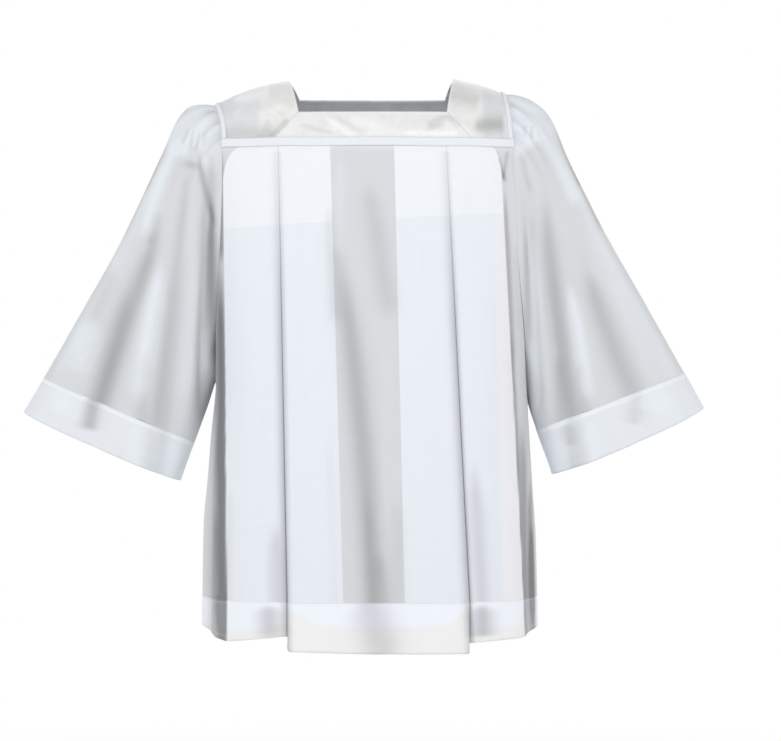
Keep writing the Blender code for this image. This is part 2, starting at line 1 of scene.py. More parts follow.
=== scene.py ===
"""Cloth, sewing and stage for the square-yoke surplice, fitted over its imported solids.

Metres, +Z up, the front towards -Y and the viewer's left towards -X, as in the solids. Each
piece of cloth is a thin shell through the same sections as its solid, at a finer spacing, with
its creases, gathers and rolled edges worked in. Run as a script, it makes the whole garment.
"""

import math
from collections import namedtuple

import bpy
import numpy as np
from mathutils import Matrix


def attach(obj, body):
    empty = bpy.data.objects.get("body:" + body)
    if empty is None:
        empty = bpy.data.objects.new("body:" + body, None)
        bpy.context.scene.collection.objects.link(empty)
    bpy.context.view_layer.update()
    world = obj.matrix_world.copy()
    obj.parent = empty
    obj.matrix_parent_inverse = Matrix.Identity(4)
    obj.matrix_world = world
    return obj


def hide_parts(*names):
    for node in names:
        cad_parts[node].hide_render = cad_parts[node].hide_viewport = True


bl_info = {
    "name": "Square-yoke surplice",
    "version": (1, 0, 0),
    "blender": (4, 5, 0),
    "location": "3D View > Sidebar > Surplice",
    "description": "Makes the voile, satin, sewing and stage of a pleated surplice",
    "category": "Object",
}

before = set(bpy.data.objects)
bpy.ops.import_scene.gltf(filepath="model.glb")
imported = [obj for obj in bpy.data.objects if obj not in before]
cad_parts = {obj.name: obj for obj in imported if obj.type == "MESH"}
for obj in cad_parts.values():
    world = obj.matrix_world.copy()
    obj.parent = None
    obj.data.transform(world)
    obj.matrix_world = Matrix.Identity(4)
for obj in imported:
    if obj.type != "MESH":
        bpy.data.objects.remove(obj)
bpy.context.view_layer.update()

# The way that each panel or side of the garment faces.
FACINGS = ("front", "back")
TOWARD = {"front": (0, -1, 0), "back": (0, 1, 0), "left": (-1, 0, 0), "right": (1, 0, 0)}

# ---- Sizes of the garment, in metres -------------------------------------------------------

# These are the sizes of the solids, apart from a few edges that lie up to 5 mm closer to how
# the cloth hangs.
SEAM_GAP = 0.00005         # between two pieces that are sewn together
SIDE_SEAM = 0.00018        # half the gap between the two panels at a side
MITRE_GAP = 0.0002
SEAM_HEIGHT = -0.1035      # where the pleated panels hang from the yoke
BAND_HEIGHT = -0.802       # top of the hem band
ROUNDNESS = 2.6            # exponent of the superellipse that each ring of the body follows
SIDE_START = 0.200         # distance from the middle where the panel starts to turn to the side
WELT_TOP = -0.0970         # heights of the edges of the narrow band over the yoke's seam
WELT_BOTTOM = -0.1100
WELT_LIFT = 0.0019         # from the middle of the yoke's cloth to the middle of the welt
WELT_END = 0.003           # angle between the end of a welt and the armhole, in radians
PIPING_WIDTH = 0.0065
PIPING_INSET = 0.0006      # from the armhole's edge
PIPING_LIFT = 0.0012       # from the middle of the yoke's cloth
NECK = {"front": -0.0575, "back": -0.0240}   # height of the edge of the neck
ARMHOLE_EDGE = 0.075       # how far the armhole opens, forwards and backwards, at the yoke
ARMHOLE_CURVE = (2.2, 0.75)      # exponents of how that narrows, down to the underarm
SLEEVE_SHIFT = 0.0003      # seam between the armhole and the sleeve, wider below the arm
UNDERARM_SHIFT = 0.0010
CUFF_GAP = 0.0001          # between the sleeve and its cuff band

# Half widths and depths of the body at each height.
Ring = namedtuple("Ring", "height left right front back")
RINGS = (
    Ring(-0.095, 0.2640, 0.2565, 0.115, 0.120),
    Ring(-0.200, 0.2540, 0.2505, 0.122, 0.128),
    Ring(-0.300, 0.2470, 0.2460, 0.127, 0.128),
    Ring(-0.400, 0.2420, 0.2450, 0.131, 0.127),
    Ring(-0.471, 0.2390, 0.2440, 0.134, 0.128),
    Ring(-0.560, 0.2470, 0.2488, 0.138, 0.132),
    Ring(-0.650, 0.2538, 0.2542, 0.143, 0.139),
    Ring(-0.750, 0.2560, 0.2570, 0.149, 0.148),
    Ring(-0.850, 0.2570, 0.2584, 0.155, 0.156),
    Ring(-0.890, 0.2570, 0.2584, 0.157, 0.159),
)
# Heights that the armhole's edge is counted out by.
ARMHOLE_ROWS = (SEAM_HEIGHT, -0.150, -0.210, -0.270, -0.330, -0.385, -0.432, -0.471, -0.505)

# The two inverted box pleats of each panel: where the folds meet, and how far the hidden
# layers reach to each side. These and the next two sizes are given at the yoke and at the hem.
Pleat = namedtuple("Pleat", "middle left right")
PLEATS = {
    "front": (Pleat((-0.139, -0.122), (0.0860, 0.0948), (0.0790, 0.0855)),
              Pleat((0.1168, 0.1558), (0.0793, 0.1003), (0.0822, 0.0847))),
    "back": (Pleat((-0.134, -0.144), (0.0800, 0.0930), (0.0820, 0.0930)),
             Pleat((0.130, 0.146), (0.0820, 0.0920), (0.0800, 0.0930))),
}
LAYER = (0.0019, 0.0055)   # from one layer of a pleat to the next
FOLD_GAP = (0.0005, 0.0014)      # between the two folds that meet
CENTRE_LIFT_HEM = 0.0060   # how far the middle of a panel stands proud of its sides, at the hem
PLEAT_DROP = 0.2           # share of a pleat's cloth over which its hem drops to the middle's

# Lines across a panel, as (x, height): left of the pleats, between them, and right of them.
# The hem on the outer layers:
HEM = (
    ((-0.2600, -0.846), (-0.2360, -0.860), (-0.2180, -0.865), (-0.1300, -0.854)),
    ((-0.1300, -0.876), (0.0000, -0.879), (0.1600, -0.880)),
    ((0.1500, -0.864), (0.2400, -0.860), (0.2640, -0.846)),
)
# The end of the cloth that is turned up inside the band. Below it the band is a warmer white.
TURNED_UP = {
    "front": (
        ((-0.2600, -0.842), (-0.2000, -0.848), (-0.1400, -0.836)),
        ((-0.1220, -0.812), (-0.0830, -0.833), (-0.0400, -0.838), (0.0900, -0.838),
         (0.1280, -0.833), (0.1500, -0.808)),
        ((0.1600, -0.846), (0.2100, -0.842), (0.2600, -0.838)),
    ),
    "back": (
        ((-0.2600, -0.842), (-0.1500, -0.846)),
        ((-0.1420, -0.816), (-0.1000, -0.836), (0.1040, -0.834), (0.1440, -0.814)),
        ((0.1500, -0.846), (0.2600, -0.840)),
    ),
}
# The end of the facing behind the pleat heads. Below it the cloth is a shade greyer.
FACING_END = {"front": ((-0.2200, -0.2350), (0.2030, -0.2120)),
              "back": ((-0.2100, -0.2200), (0.2100, -0.2260))}
# From here outwards, at the yoke and at the hem, the last hidden layer is doubled on itself
# and a little warmer.
DOUBLED_EDGE = {"front": (0.1880, 0.2050), "back": (-0.1960, -0.2080)}

# Each side of the yoke and its sleeve. Places are (distance from the middle, height). The
# last value is how much the side of the sleeve by the body is shaded by it.
Side = namedtuple(
    "Side",
    "name sign neck_ridge neck_front neck_back mitre_front mitre_back"
    " shoulder corner ridge_height ridge_slope ridge_bulge underarm"
    " top_line cuff_top cuff_hem cuff_bow inner_shade",
)
SIDES = (
    Side(
        name="left", sign=-1, neck_ridge=0.1295, neck_front=0.1080, neck_back=0.1120,
        mitre_front=0.1520, mitre_back=0.1660, shoulder=0.2418, corner=0.2265,
        ridge_height=-0.0019, ridge_slope=0.334, ridge_bulge=0.006, underarm=-0.471,
        top_line=((0.2418, -0.0394), (0.2590, -0.0362), (0.2777, -0.0394), (0.2933, -0.0519),
                  (0.3057, -0.0721), (0.3167, -0.0987), (0.3447, -0.1611), (0.3931, -0.2609),
                  (0.4500, -0.3620), (0.5070, -0.4621), (0.5382, -0.5167)),
        cuff_top=0.2735, cuff_hem=(0.2964, -0.6228), cuff_bow=0.003, inner_shade=0.6,
    ),
    Side(
        name="right", sign=1, neck_ridge=0.1326, neck_front=0.1180, neck_back=0.1180,
        mitre_front=0.1610, mitre_back=0.1680, shoulder=0.2106, corner=0.2200,
        ridge_height=0.0012, ridge_slope=0.300, ridge_bulge=0.002, underarm=-0.505,
        top_line=((0.2106, -0.0222), (0.2330, -0.0222), (0.2543, -0.0331), (0.2736, -0.0487),
                  (0.2892, -0.0745), (0.3086, -0.1227), (0.3396, -0.1848), (0.3713, -0.2453),
                  (0.4300, -0.3480), (0.4899, -0.4543), (0.5195, -0.5089)),
        cuff_top=0.2593, cuff_hem=(0.2839, -0.6119), cuff_bow=0.007, inner_shade=0.0,
    ),
)
SLEEVE_DEPTH_TOP = 0.082   # half depth of the sleeve near the shoulder and at the cuff
SLEEVE_DEPTH_CUFF = 0.077
OVAL_POWER = 0.85          # the lower, the fuller the sleeve's section
OVAL_TAPER = 0.25          # how much flatter it is at its inner line
SLEEVE_JOIN = 0.42         # share of the sleeve over which its armhole turns into an oval
HEAD_JOIN = 0.08           # the same at its outer line, and how far round that reaches
HEAD_REACH = 0.2
UNDERARM_REACH = 0.25      # how far round, from below the arm, the wider seam there reaches
TUCK_DEPTHS = (0.0028, 0.0045, 0.0072, 0.0064)   # from the shoulder down to the yoke's corner
TUCK_COLUMNS = 4           # columns of the solid that each tuck takes up
TUCK_LENGTH = 0.34         # share of the sleeve that the tucks run down
TUCK_START = 0.25          # depth of a tuck on the armhole, out of its full depth
TUCK_RISE = 0.2            # share of its length over which it gets there

# ---- Fine sizes of the cloth ---------------------------------------------------------------

# Counts of faces along the pieces.
TURN_STEPS = 7
SIDE_STEPS = 26
STRIP_STEPS = 18
CENTRE_STEPS = 46
HIDDEN_STEPS = 5
UNDERLAY_STEPS = 7
PANEL_ROWS = 158
BAND_ROWS = 16
OVERLAP_ROWS = 2           # how many of the rows of a band the cloth above it runs on over
YOKE_STEPS = 170
YOKE_ROWS = 26
SHOULDER_STEPS = 64
SHOULDER_ROWS = 130
SHOULDER_STOPS = (0.2, 0.5, 0.7)   # its rows at the neck's front corner, ridge and back corner
TRIM_STEPS = 180
TRIM_ROWS = 8
HEAD_STEPS = 64            # of the sleeve, round one half of the yoke's edge
ARMHOLE_STEPS = 44
SLEEVE_ROWS = 150
SLEEVE_SPACING = 1.2       # above 1, the rows lie closer together at the sleeve's head
CUFF_ROWS = 18

# Rows that the stitches follow. On a mitre they go down a column.
HEM_STITCHES = (1, BAND_ROWS - 2)
CUFF_STITCHES = (2, CUFF_ROWS - 2)
WELT_STITCHES = (1, TRIM_ROWS - 1)
NECK_STITCHES = 3
MITRE_STITCHES = (slice(None), 1)

FLUTE_DEPTH = (0.0002, 0.0011)   # of the faint upright waves of the cloth, yoke and hem
FLUTE_WIDTH = 0.052
FLUTE_START = 0.08         # how far below the welt they reach their full depth
EDGE_WAVE = 0.0007         # how far the free edges of the cuffs wander
EDGE_WAVE_LENGTH = 0.047
EDGE_WAVE_START = 1.3      # where they start to, if a cuff's seam is at 1 and its edge at 2
WELT_CROWN = 0.0006        # how far the middle of a trim stands out
PIPING_CROWN = 0.0009
WELT_PUCKER = 0.00015      # how far the stitches pull a welt in and out, and up and down,
WELT_WANDER = 0.0003       # and how many such waves a full turn round the body would have
WELT_PUCKERS = 61
WELT_WANDERS = 13
BAND_DEPTH = 0.06          # height of a band, near enough to place its rolled edge
BAND_ROLL = (0.00025, 0.004)     # extra thickness along the edge of a band, and its width
BINDING_ROLL = (0.0004, 0.0018)  # and along the edge of the neck
BINDING_WIDTH = 0.0036     # bright rolled edge round the neck
CUFF_STRIP = 0.0075        # bright strip along the top of a cuff
CUFF_SEAM = 0.0070         # and half of the one over its seam
SATIN_END = {"left": 0.168, "right": 0.1735}   # outside this the shoulder is single cloth
HIDDEN = 0.02              # stands for far inside, on covered layers and clear of the edges

# ---- Stage ---------------------------------------------------------------------------------

MIDDLE = (0, 0, -0.45)     # what the lights point at
# Name, place, power in watts and size of each light.
LIGHTS = (
    ("Key light", (-2.6, -3.4, 1.6), 34, 2.4),
    ("Fill light", (2.8, -3.0, 0.4), 20, 2.6),
    ("Back light", (0.4, 3.4, 1.4), 20, 2.6),
)
CAMERA = (0.032, -4.5, -0.452)
SENSOR = 36                # width of the camera's sensor, in millimetres
PICTURE_WIDTH = 781        # in pixels, of PIXEL metres each at the garment
PIXEL = 0.00156

# ---- Creases and shades --------------------------------------------------------------------

LARGE_FADE = (0.33, 0.25)  # shares of a crease's length over which it starts, and runs out
SMALL_FADE = (0.26, 0.20)
CREASE_TIP = 0.55          # a small crease's width at its start, out of its full width,
CREASE_OPEN = 0.45         # and the share of its length over which it widens
CREASE_FACING = (0.03, 0.22)     # how far the cloth faces the way its creases are seen from
DARKEST = -2.0             # the lowest shade. The highest is 1
SIDE_BLEND = 5             # columns of a panel, past its sides, that the large folds reach into
CREASE_START = 0.020       # how far below the welt the creases reach their full height
YOKE_CREASE_START = 0.004  # and how far above it
SLEEVE_FADE = 0.1          # share of the sleeve over which they do so
SEAM_REACH = 0.012         # how far from a band's seam its creases are the same on both sides
CUFF_SEAM_REACH = 0.04     # the same, as a share of the sleeve
STRIP_EDGE = 0.0016        # over which the strips' edges run out
VALLEY_WIDTH = (0.0085, 0.0042)  # of the shade where two folds meet, left and right of them
VALLEY_SHADE = (-0.35, -1.0)     # below the yoke, and from the middle of the panel down
VALLEY_START = 0.012       # how far below the welt it begins in full, and then deepens
VALLEY_GROWTH = 0.30
UNDER_WELT = 0.003         # how far below the welt the light there is, its width, its strength
UNDER_WELT_SHADE = 0.5
# Width and height of the rounding of the outer strips' top corners, where the single cloth's grey
# also stands for the painted shade at those corners.
STRIP_CORNERS = ((0.030, 0.055), (0.014, 0.045))
TUCK_SHADE = 0.5           # how much the deepest tuck is shaded
INNER_FACING = (0.35, 0.90)      # how far the sleeve faces the body, to be in its shade
INNER_START = (0.15, 0.45)       # and the shares of the sleeve where that shade
INNER_END = (0.95, 0.55)         # starts and is full, and where it ends and was full

# A crease is a line over the cloth, seen from one side, from (across, height) to (across,
# height). Its middle bows sideways. It rises over its width, or sinks where the rise is below
# zero, and its shade is painted into the cloth's colour: painted shade below zero and a painted
# highlight above zero, for the light and shade along its folds.
Crease = namedtuple("Crease", "across height end_across end_height width shade rise bow",
                    defaults=(0, 0))
# They are kept by the cloth that they are in and the side that they are seen from. Those of
# "all" run on through body, sleeves and bands, and "side" is the body beyond its pleats.
CREASES = {
    # The large folds of the solids.
    ("all", "front"): (
        (-0.335, -0.19, -0.425, -0.56, 0.022, 0, -0.011),
        (-0.3, -0.24, -0.362, -0.64, 0.017, 0, 0.008),
        (-0.262, -0.2, -0.318, -0.64, 0.014, 0, -0.008),
        (-0.246, -0.12, -0.256, -0.47, 0.01, 0, -0.014),
        (0.318, -0.17, 0.42, -0.56, 0.024, 0, -0.01),
        (0.285, -0.22, 0.348, -0.64, 0.016, 0, 0.009),
        (0.255, -0.19, 0.312, -0.64, 0.013, 0, -0.008),
        (0.238, -0.12, 0.256, -0.48, 0.01, 0, -0.012),
    ),
    ("all", "back"): (
        (-0.32, -0.18, -0.44, -0.56, 0.024, -0.6, -0.011),
        (-0.275, -0.22, -0.35, -0.64, 0.018, 0.6, 0.008),
        (0.31, -0.2, 0.405, -0.56, 0.022, -0.6, -0.01),
        (0.27, -0.23, 0.338, -0.64, 0.017, 0.6, 0.009),
    ),
    ("all", "left"): (
        (-0.046, -0.56, -0.058, -0.9, 0.02, -0.5, -0.007),
        (0.004, -0.6, 0.008, -0.9, 0.018, 0, 0.004),
        (0.052, -0.54, 0.066, -0.9, 0.021, -0.5, -0.008),
    ),
    ("all", "right"): (
        (-0.05, -0.58, -0.066, -0.9, 0.022, -0.5, -0.008),
        (0.01, -0.62, 0.004, -0.9, 0.018, 0, 0.003),
        (0.048, -0.56, 0.06, -0.9, 0.02, -0.5, -0.007),
    ),
    # Left sleeve, front: its head, the gathers, the folds that fan out, the side by the body.
    ("sleeve", "front"): (
        (-0.249, -0.047, -0.281, -0.118, 0.0398, 0.95),
        (-0.29, -0.081, -0.344, -0.225, 0.0107, 0.9, 0.0006, -0.0031),
        (-0.31, -0.089, -0.345, -0.165, 0.0061, -0.7),
        (-0.319, -0.109, -0.376, -0.232, 0.0061, -0.6),
        (-0.293, -0.043, -0.243, -0.034, 0.0107, 1),
        (-0.266, -0.101, -0.275, -0.136, 0.0107, -0.7),
        (-0.284, -0.105, -0.276, -0.079, 0.0034, 0.7, 0.0006),
        (-0.273, -0.109, -0.267, -0.081, 0.0034, 0.7, 0.0006),
        (-0.261, -0.105, -0.261, -0.081, 0.0034, 0.7, 0.0006),
        (-0.29, -0.104, -0.282, -0.079, 0.0037, -0.6, -0.0004),
        (-0.279, -0.112, -0.272, -0.083, 0.0034, -0.8, -0.0005),
        (-0.267, -0.112, -0.264, -0.084, 0.0034, -0.8, -0.0005),
        (-0.255, -0.109, -0.256, -0.084, 0.0037, -0.6, -0.0004),
        (-0.266, -0.109, -0.241, -0.216, 0.0052, -0.9, -0.0012, -0.0015),
        (-0.243, -0.109, -0.243, -0.2, 0.0076, -0.5),
        (-0.276, -0.112, -0.324, -0.503, 0.0107, -0.45, -0.0008, 0.0015),
        (-0.324, -0.203, -0.339, -0.252, 0.0107, -0.4),
        (-0.316, -0.213, -0.417, -0.503, 0.0184, -0.85, -0.0004, -0.0046),
        (-0.373, -0.314, -0.416, -0.503, 0.0168, -0.3),
        (-0.394, -0.286, -0.431, -0.372, 0.0138, -0.45, -0.0004),
        (-0.316, -0.274, -0.353, -0.47, 0.0122, 0.9, 0.001, -0.0031),
        (-0.342, -0.415, -0.351, -0.528, 0.0122, -0.45),
        (-0.425, -0.362, -0.449, -0.445, 0.0168, 0.45, 0.0006),
        (-0.275, -0.161, -0.284, -0.528, 0.0107, 0.15, 0.0007, 0.0031),
        (-0.243, -0.185, -0.241, -0.413, 0.0092, -1.6),
        # Right sleeve, front.
        (0.209, -0.044, 0.248, -0.099, 0.0367, 0.95),
        (0.242, -0.047, 0.311, -0.179, 0.0099, 0.9, 0.0006, 0.0046),
        (0.288, -0.078, 0.325, -0.157, 0.0061, -0.7),
        (0.297, -0.098, 0.353, -0.219, 0.0061, -0.6),
        (0.203, -0.023, 0.27, -0.043, 0.0107, 1),
        (0.244, -0.095, 0.247, -0.072, 0.0034, 0.7, 0.0006),
        (0.256, -0.096, 0.255, -0.072, 0.0034, 0.7, 0.0006),
        (0.268, -0.09, 0.262, -0.072, 0.0034, 0.7, 0.0006),
        (0.238, -0.096, 0.242, -0.075, 0.0037, -0.6, -0.0004),
        (0.25, -0.099, 0.251, -0.075, 0.0034, -0.8, -0.0005),
        (0.262, -0.096, 0.258, -0.073, 0.0034, -0.8, -0.0005),
        (0.275, -0.093, 0.268, -0.075, 0.0037, -0.6, -0.0004),
        (0.23, -0.112, 0.245, -0.17, 0.004, -0.35, -0.0012),
        (0.267, -0.161, 0.311, -0.515, 0.0153, -0.72, -0.0008, -0.0046),
        (0.238, -0.209, 0.244, -0.482, 0.0049, -0.75, -0.0005),
        (0.302, -0.307, 0.334, -0.473, 0.0099, 0.9, 0.001, 0.0031),
        (0.287, -0.421, 0.293, -0.534, 0.0092, -0.4),
        (0.322, -0.43, 0.334, -0.528, 0.0092, -0.45),
        (0.33, -0.28, 0.409, -0.494, 0.0199, -0.65, -0.0004, -0.0031),
        (0.359, -0.286, 0.437, -0.46, 0.0122, 0.15, 0.0006),
        (0.25, -0.229, 0.262, -0.528, 0.0076, 0.5, 0.0005),
    ),
    # Both sleeves, from behind and from the outside.
    ("sleeve", "back"): (
        (-0.3, -0.14, -0.348, -0.33, 0.011, -0.35, -0.0016, 0.004),
        (-0.262, -0.16, -0.29, -0.52, 0.01, 0.5, 0.0012),
        (-0.38, -0.28, -0.462, -0.47, 0.012, 0.6, 0.0012, -0.003),
        (-0.33, -0.24, -0.42, -0.48, 0.015, -0.6, -0.0005, 0.003),
        (-0.24, -0.13, -0.244, -0.46, 0.009, -0.7, -0.001),
        (0.288, -0.13, 0.33, -0.31, 0.011, -0.35, -0.0016, -0.004),
        (0.252, -0.18, 0.282, -0.5, 0.01, 0.5, 0.0012),
        (0.37, -0.27, 0.446, -0.45, 0.012, 0.6, 0.0012, 0.003),
        (0.318, -0.25, 0.4, -0.47, 0.015, -0.6, -0.0005, -0.003),
        (0.238, -0.14, 0.244, -0.48, 0.009, -0.7, -0.001),
        (-0.236, -0.052, -0.262, -0.118, 0.03, 0.8),
        (0.222, -0.05, 0.252, -0.104, 0.03, 0.8),
    ),
    ("sleeve", "left"): (
        (-0.03, -0.09, -0.042, -0.42, 0.011, 0.5, 0.0014, 0.003),
        (0.006, -0.12, 0.012, -0.5, 0.012, -0.4, -0.0024, -0.004),
        (0.04, -0.11, 0.05, -0.46, 0.01, 0.4, 0.0012, 0.003),
    ),
    ("sleeve", "right"): (
        (-0.034, -0.11, -0.044, -0.44, 0.01, 0.5, 0.0014, -0.003),
        (0, -0.1, -0.008, -0.48, 0.013, -0.4, -0.0024, 0.004),
        (0.036, -0.12, 0.048, -0.48, 0.01, 0.4, 0.0012, -0.003),
    ),
    # Body, front: the single layer in the middle, then the pleated strips.
    ("body", "front"): (
        (-0.051, -0.239, 0.007, -0.8, 0.0182, -0.86, -0.0012, 0.0076),
        (-0.005, -0.618, 0.008, -0.861, 0.0091, -0.25, -0.0008),
        (-0.005, -0.151, 0.028, -0.345, 0.0167, -0.4, -0.0006),
        (-0.043, -0.114, -0.048, -0.254, 0.0106, 0.25, 0.0006),
        (-0.06, -0.187, -0.052, -0.36, 0.0106, -0.4, -0.0004),
        (0.04, -0.618, 0.043, -0.861, 0.0137, -0.3, -0.0003),
        (0.025, -0.345, 0.037, -0.8, 0.0137, 0.1, 0.0008),
        (-0.143, -0.671, -0.139, -0.861, 0.0121, -0.5, -0.0007),
        (0.013, -0.717, 0.028, -0.831, 0.0106, -0.35),
        (-0.061, -0.527, -0.051, -0.8, 0.0091, -0.1, -0.0006),
        (0.157, -0.576, 0.175, -0.861, 0.0137, -0.55, -0.0008),
        (0.077, -0.345, 0.092, -0.8, 0.0182, 0.1, 0.0008),
        (-0.181, -0.345, -0.178, -0.8, 0.0182, 0.1, 0.0007),
        (-0.099, -0.284, -0.09, -0.755, 0.0152, 0.1, 0.0007),
        (-0.213, -0.618, -0.216, -0.8, 0.0076, -0.2, -0.0003),
        (0.147, -0.132, 0.153, -0.269, 0.0121, 0.3, 0.0005),
    ),
    # Its single cloth beyond the pleats, where it turns to the sides.
    ("side", "front"): (
        (-0.228, -0.111, -0.228, -0.263, 0.0068, -1.5),
        (-0.231, -0.242, -0.225, -0.8, 0.0106, -2.1, -0.0006),
        (-0.224, -0.785, -0.224, -0.861, 0.0106, -1.3),
        (-0.237, -0.649, -0.239, -0.861, 0.0076, -0.5),
        (0.192, -0.111, 0.206, -0.157, 0.0033, -1.1, -0.001),
        (0.212, -0.108, 0.206, -0.154, 0.003, -0.7, -0.001),
        (0.224, -0.132, 0.227, -0.246, 0.0076, 0.5, 0.0006),
        (0.206, -0.157, 0.218, -0.413, 0.0046, -1, -0.0005),
        (0.216, -0.375, 0.232, -0.831, 0.0055, -1.7, -0.0005),
        (0.233, -0.497, 0.244, -0.861, 0.0106, -0.65),
        (0.253, -0.558, 0.256, -0.8, 0.0046, -1.4),
        (0.254, -0.679, 0.257, -0.891, 0.0046, -1.6),
    ),
    # Body, back and sides.
    ("body", "back"): (
        (-0.022, -0.18, 0.004, -0.5, 0.018, -0.5, -0.0014, -0.005),
        (0.018, -0.42, -0.008, -0.8, 0.016, -0.7, -0.0016),
        (0.034, -0.16, 0.03, -0.42, 0.012, 0.2, 0.001),
        (-0.09, -0.3, -0.098, -0.78, 0.016, 0.1, 0.001),
        (0.088, -0.34, 0.098, -0.79, 0.016, 0.1, 0.001),
        (-0.18, -0.4, -0.186, -0.8, 0.012, -0.25, -0.0009),
        (0.176, -0.45, 0.184, -0.8, 0.012, -0.25, -0.0009),
    ),
    ("side", "back"): (
        (-0.226, -0.3, -0.234, -0.861, 0.012, -1.1),
        (0.224, -0.3, 0.233, -0.861, 0.012, -1.1),
    ),
    ("side", "left"): (
        (-0.06, -0.5, -0.072, -0.861, 0.012, -0.6, -0.0008),
        (0.03, -0.52, 0.036, -0.861, 0.012, 0.3, 0.0008),
    ),
    ("side", "right"): (
        (-0.064, -0.52, -0.076, -0.861, 0.012, -0.6, -0.0008),
        (0.026, -0.54, 0.034, -0.861, 0.012, 0.3, 0.0008),
    ),
    # Hem band.
    ("band", "front"): (
        (-0.153, -0.804, -0.149, -0.85, 0.0197, -0.85, -0.0008),
        (-0.005, -0.784, 0.019, -0.875, 0.0302, -0.75, -0.0007),
        (0.17, -0.804, 0.172, -0.85, 0.0181, -1.05, -0.0008),
    ),
    ("band", "back"): (
        (-0.164, -0.799, -0.16, -0.847, 0.019, -0.5, -0.0008),
        (-0.01, -0.799, -0.008, -0.859, 0.03, -0.6, -0.0008),
        (0.16, -0.802, 0.166, -0.847, 0.019, -0.5, -0.0008),
    ),
    # Cuffs.
    ("cuff", "front"): (
        (-0.423, -0.485, -0.432, -0.537, 0.0138, -1, -0.001),
        (-0.303, -0.556, -0.314, -0.626, 0.02, 0.8),
        (-0.357, -0.525, -0.368, -0.592, 0.0107, 0.6, 0.0006),
        (-0.503, -0.462, -0.442, -0.485, 0.0061, 0.9),
        (-0.466, -0.479, -0.478, -0.513, 0.0215, 0.7, 0.0004),
        (0.338, -0.519, 0.351, -0.592, 0.0123, 0.6, 0.0006),
        (0.433, -0.476, 0.495, -0.456, 0.0061, 0.9),
        (0.452, -0.479, 0.441, -0.513, 0.023, 0.7, 0.0004),
        (0.301, -0.534, 0.309, -0.565, 0.0138, -0.45, -0.0004),
        (0.274, -0.553, 0.292, -0.611, 0.0138, 0.7),
        (0.418, -0.47, 0.406, -0.528, 0.0138, -0.4),
    ),
    ("cuff", "back"): (
        (-0.43, -0.5, -0.44, -0.545, 0.011, -0.5, -0.0008),
        (-0.35, -0.53, -0.362, -0.59, 0.01, 0.6, 0.0006),
        (0.4, -0.49, 0.412, -0.54, 0.011, -0.5, -0.0008),
        (0.336, -0.52, 0.346, -0.58, 0.01, 0.6, 0.0006),
    ),
    # Yoke: drag lines across the satin, the mitred corners, the single cloth of the shoulders.
    ("yoke", "front"): (
        (-0.054, -0.064, -0.015, -0.087, 0.0046, -0.25, -0.0006),
        (-0.072, -0.062, -0.03, -0.093, 0.0046, 0.7, 0.0006),
        (-0.036, -0.064, 0.004, -0.076, 0.0061, 0.5, 0.0004),
        (0.123, -0.061, 0.092, -0.076, 0.0053, -0.5, -0.0007),
        (0.039, -0.091, 0.126, -0.091, 0.0046, 0.9, 0.0003),
        (0.011, -0.059, 0.016, -0.093, 0.0076, 0.3, 0.0005),
        (-0.111, -0.076, -0.06, -0.09, 0.0038, -0.4, -0.0006),
        (-0.121, -0.065, -0.149, -0.094, 0.0052, -0.8, -0.0008),
        (-0.135, -0.062, -0.161, -0.096, 0.0034, -0.25, -0.0007),
        (-0.149, -0.064, -0.167, -0.096, 0.0052, -0.35, -0.0007),
        (-0.121, -0.046, -0.164, -0.058, 0.0046, 0.4, 0.0005),
        (-0.158, -0.044, -0.129, -0.064, 0.0038, -0.2, -0.0005),
        (0.141, -0.067, 0.168, -0.088, 0.0052, -0.15, -0.0005),
        (0.117, -0.062, 0.135, -0.079, 0.0046, -0.45, -0.0004),
        (0.126, -0.067, 0.15, -0.097, 0.0034, 0.3, 0.0007),
        (0.118, -0.073, 0.077, -0.091, 0.0038, -0.4, -0.0006),
        (0.156, -0.078, 0.201, -0.076, 0.0137, -1.05, -0.0004),
        (-0.237, -0.09, -0.155, -0.09, 0.0137, -0.55, -0.0003),
        (-0.216, -0.036, -0.161, -0.024, 0.0092, 1, 0.0003),
        (0.117, -0.027, 0.162, -0.038, 0.0153, -0.55, -0.0002),
    ),
    ("yoke", "back"): (
        (-0.09, -0.03, -0.05, -0.092, 0.0065, -0.5, -0.0008),
        (-0.06, -0.03, -0.018, -0.094, 0.006, 0.4, 0.0006),
        (0.096, -0.03, 0.05, -0.092, 0.0065, -0.5, -0.0008),
        (0.066, -0.032, 0.026, -0.094, 0.006, 0.4, 0.0006),
        (-0.126, -0.036, -0.158, -0.096, 0.0034, -0.5, -0.0007),
        (0.13, -0.036, 0.162, -0.096, 0.0034, -0.5, -0.0007),
        (-0.2, -0.06, -0.214, -0.092, 0.013, -0.6, -0.0003),
        (0.19, -0.06, 0.198, -0.092, 0.013, -0.6, -0.0003),
    ),
}

# A grid of points through the middle of the cloth, with the outward directions, the marks for
# the materials and the places on the flat cloth. A closed one runs all the way round.
Shell = namedtuple("Shell", "points normals marks uv closed")
seams = {}                 # name: points of a seam that the sewing follows


# ---- Curves --------------------------------------------------------------------------------

def blend(start, end, share):
    return start + (end - start) * share


def smooth(share):
    """0 to 1, starting and ending gently."""
    share = np.clip(share, 0.0, 1.0)
    return share * share * (3 - 2 * share)


def arch(share):
    """0 at both ends of a length and 1 in its middle."""
    return 4 * share * (1 - share)


def peak(distance, width):
    """1 at no distance, running out beyond the width."""
    return np.exp(-(distance / width) ** 2)


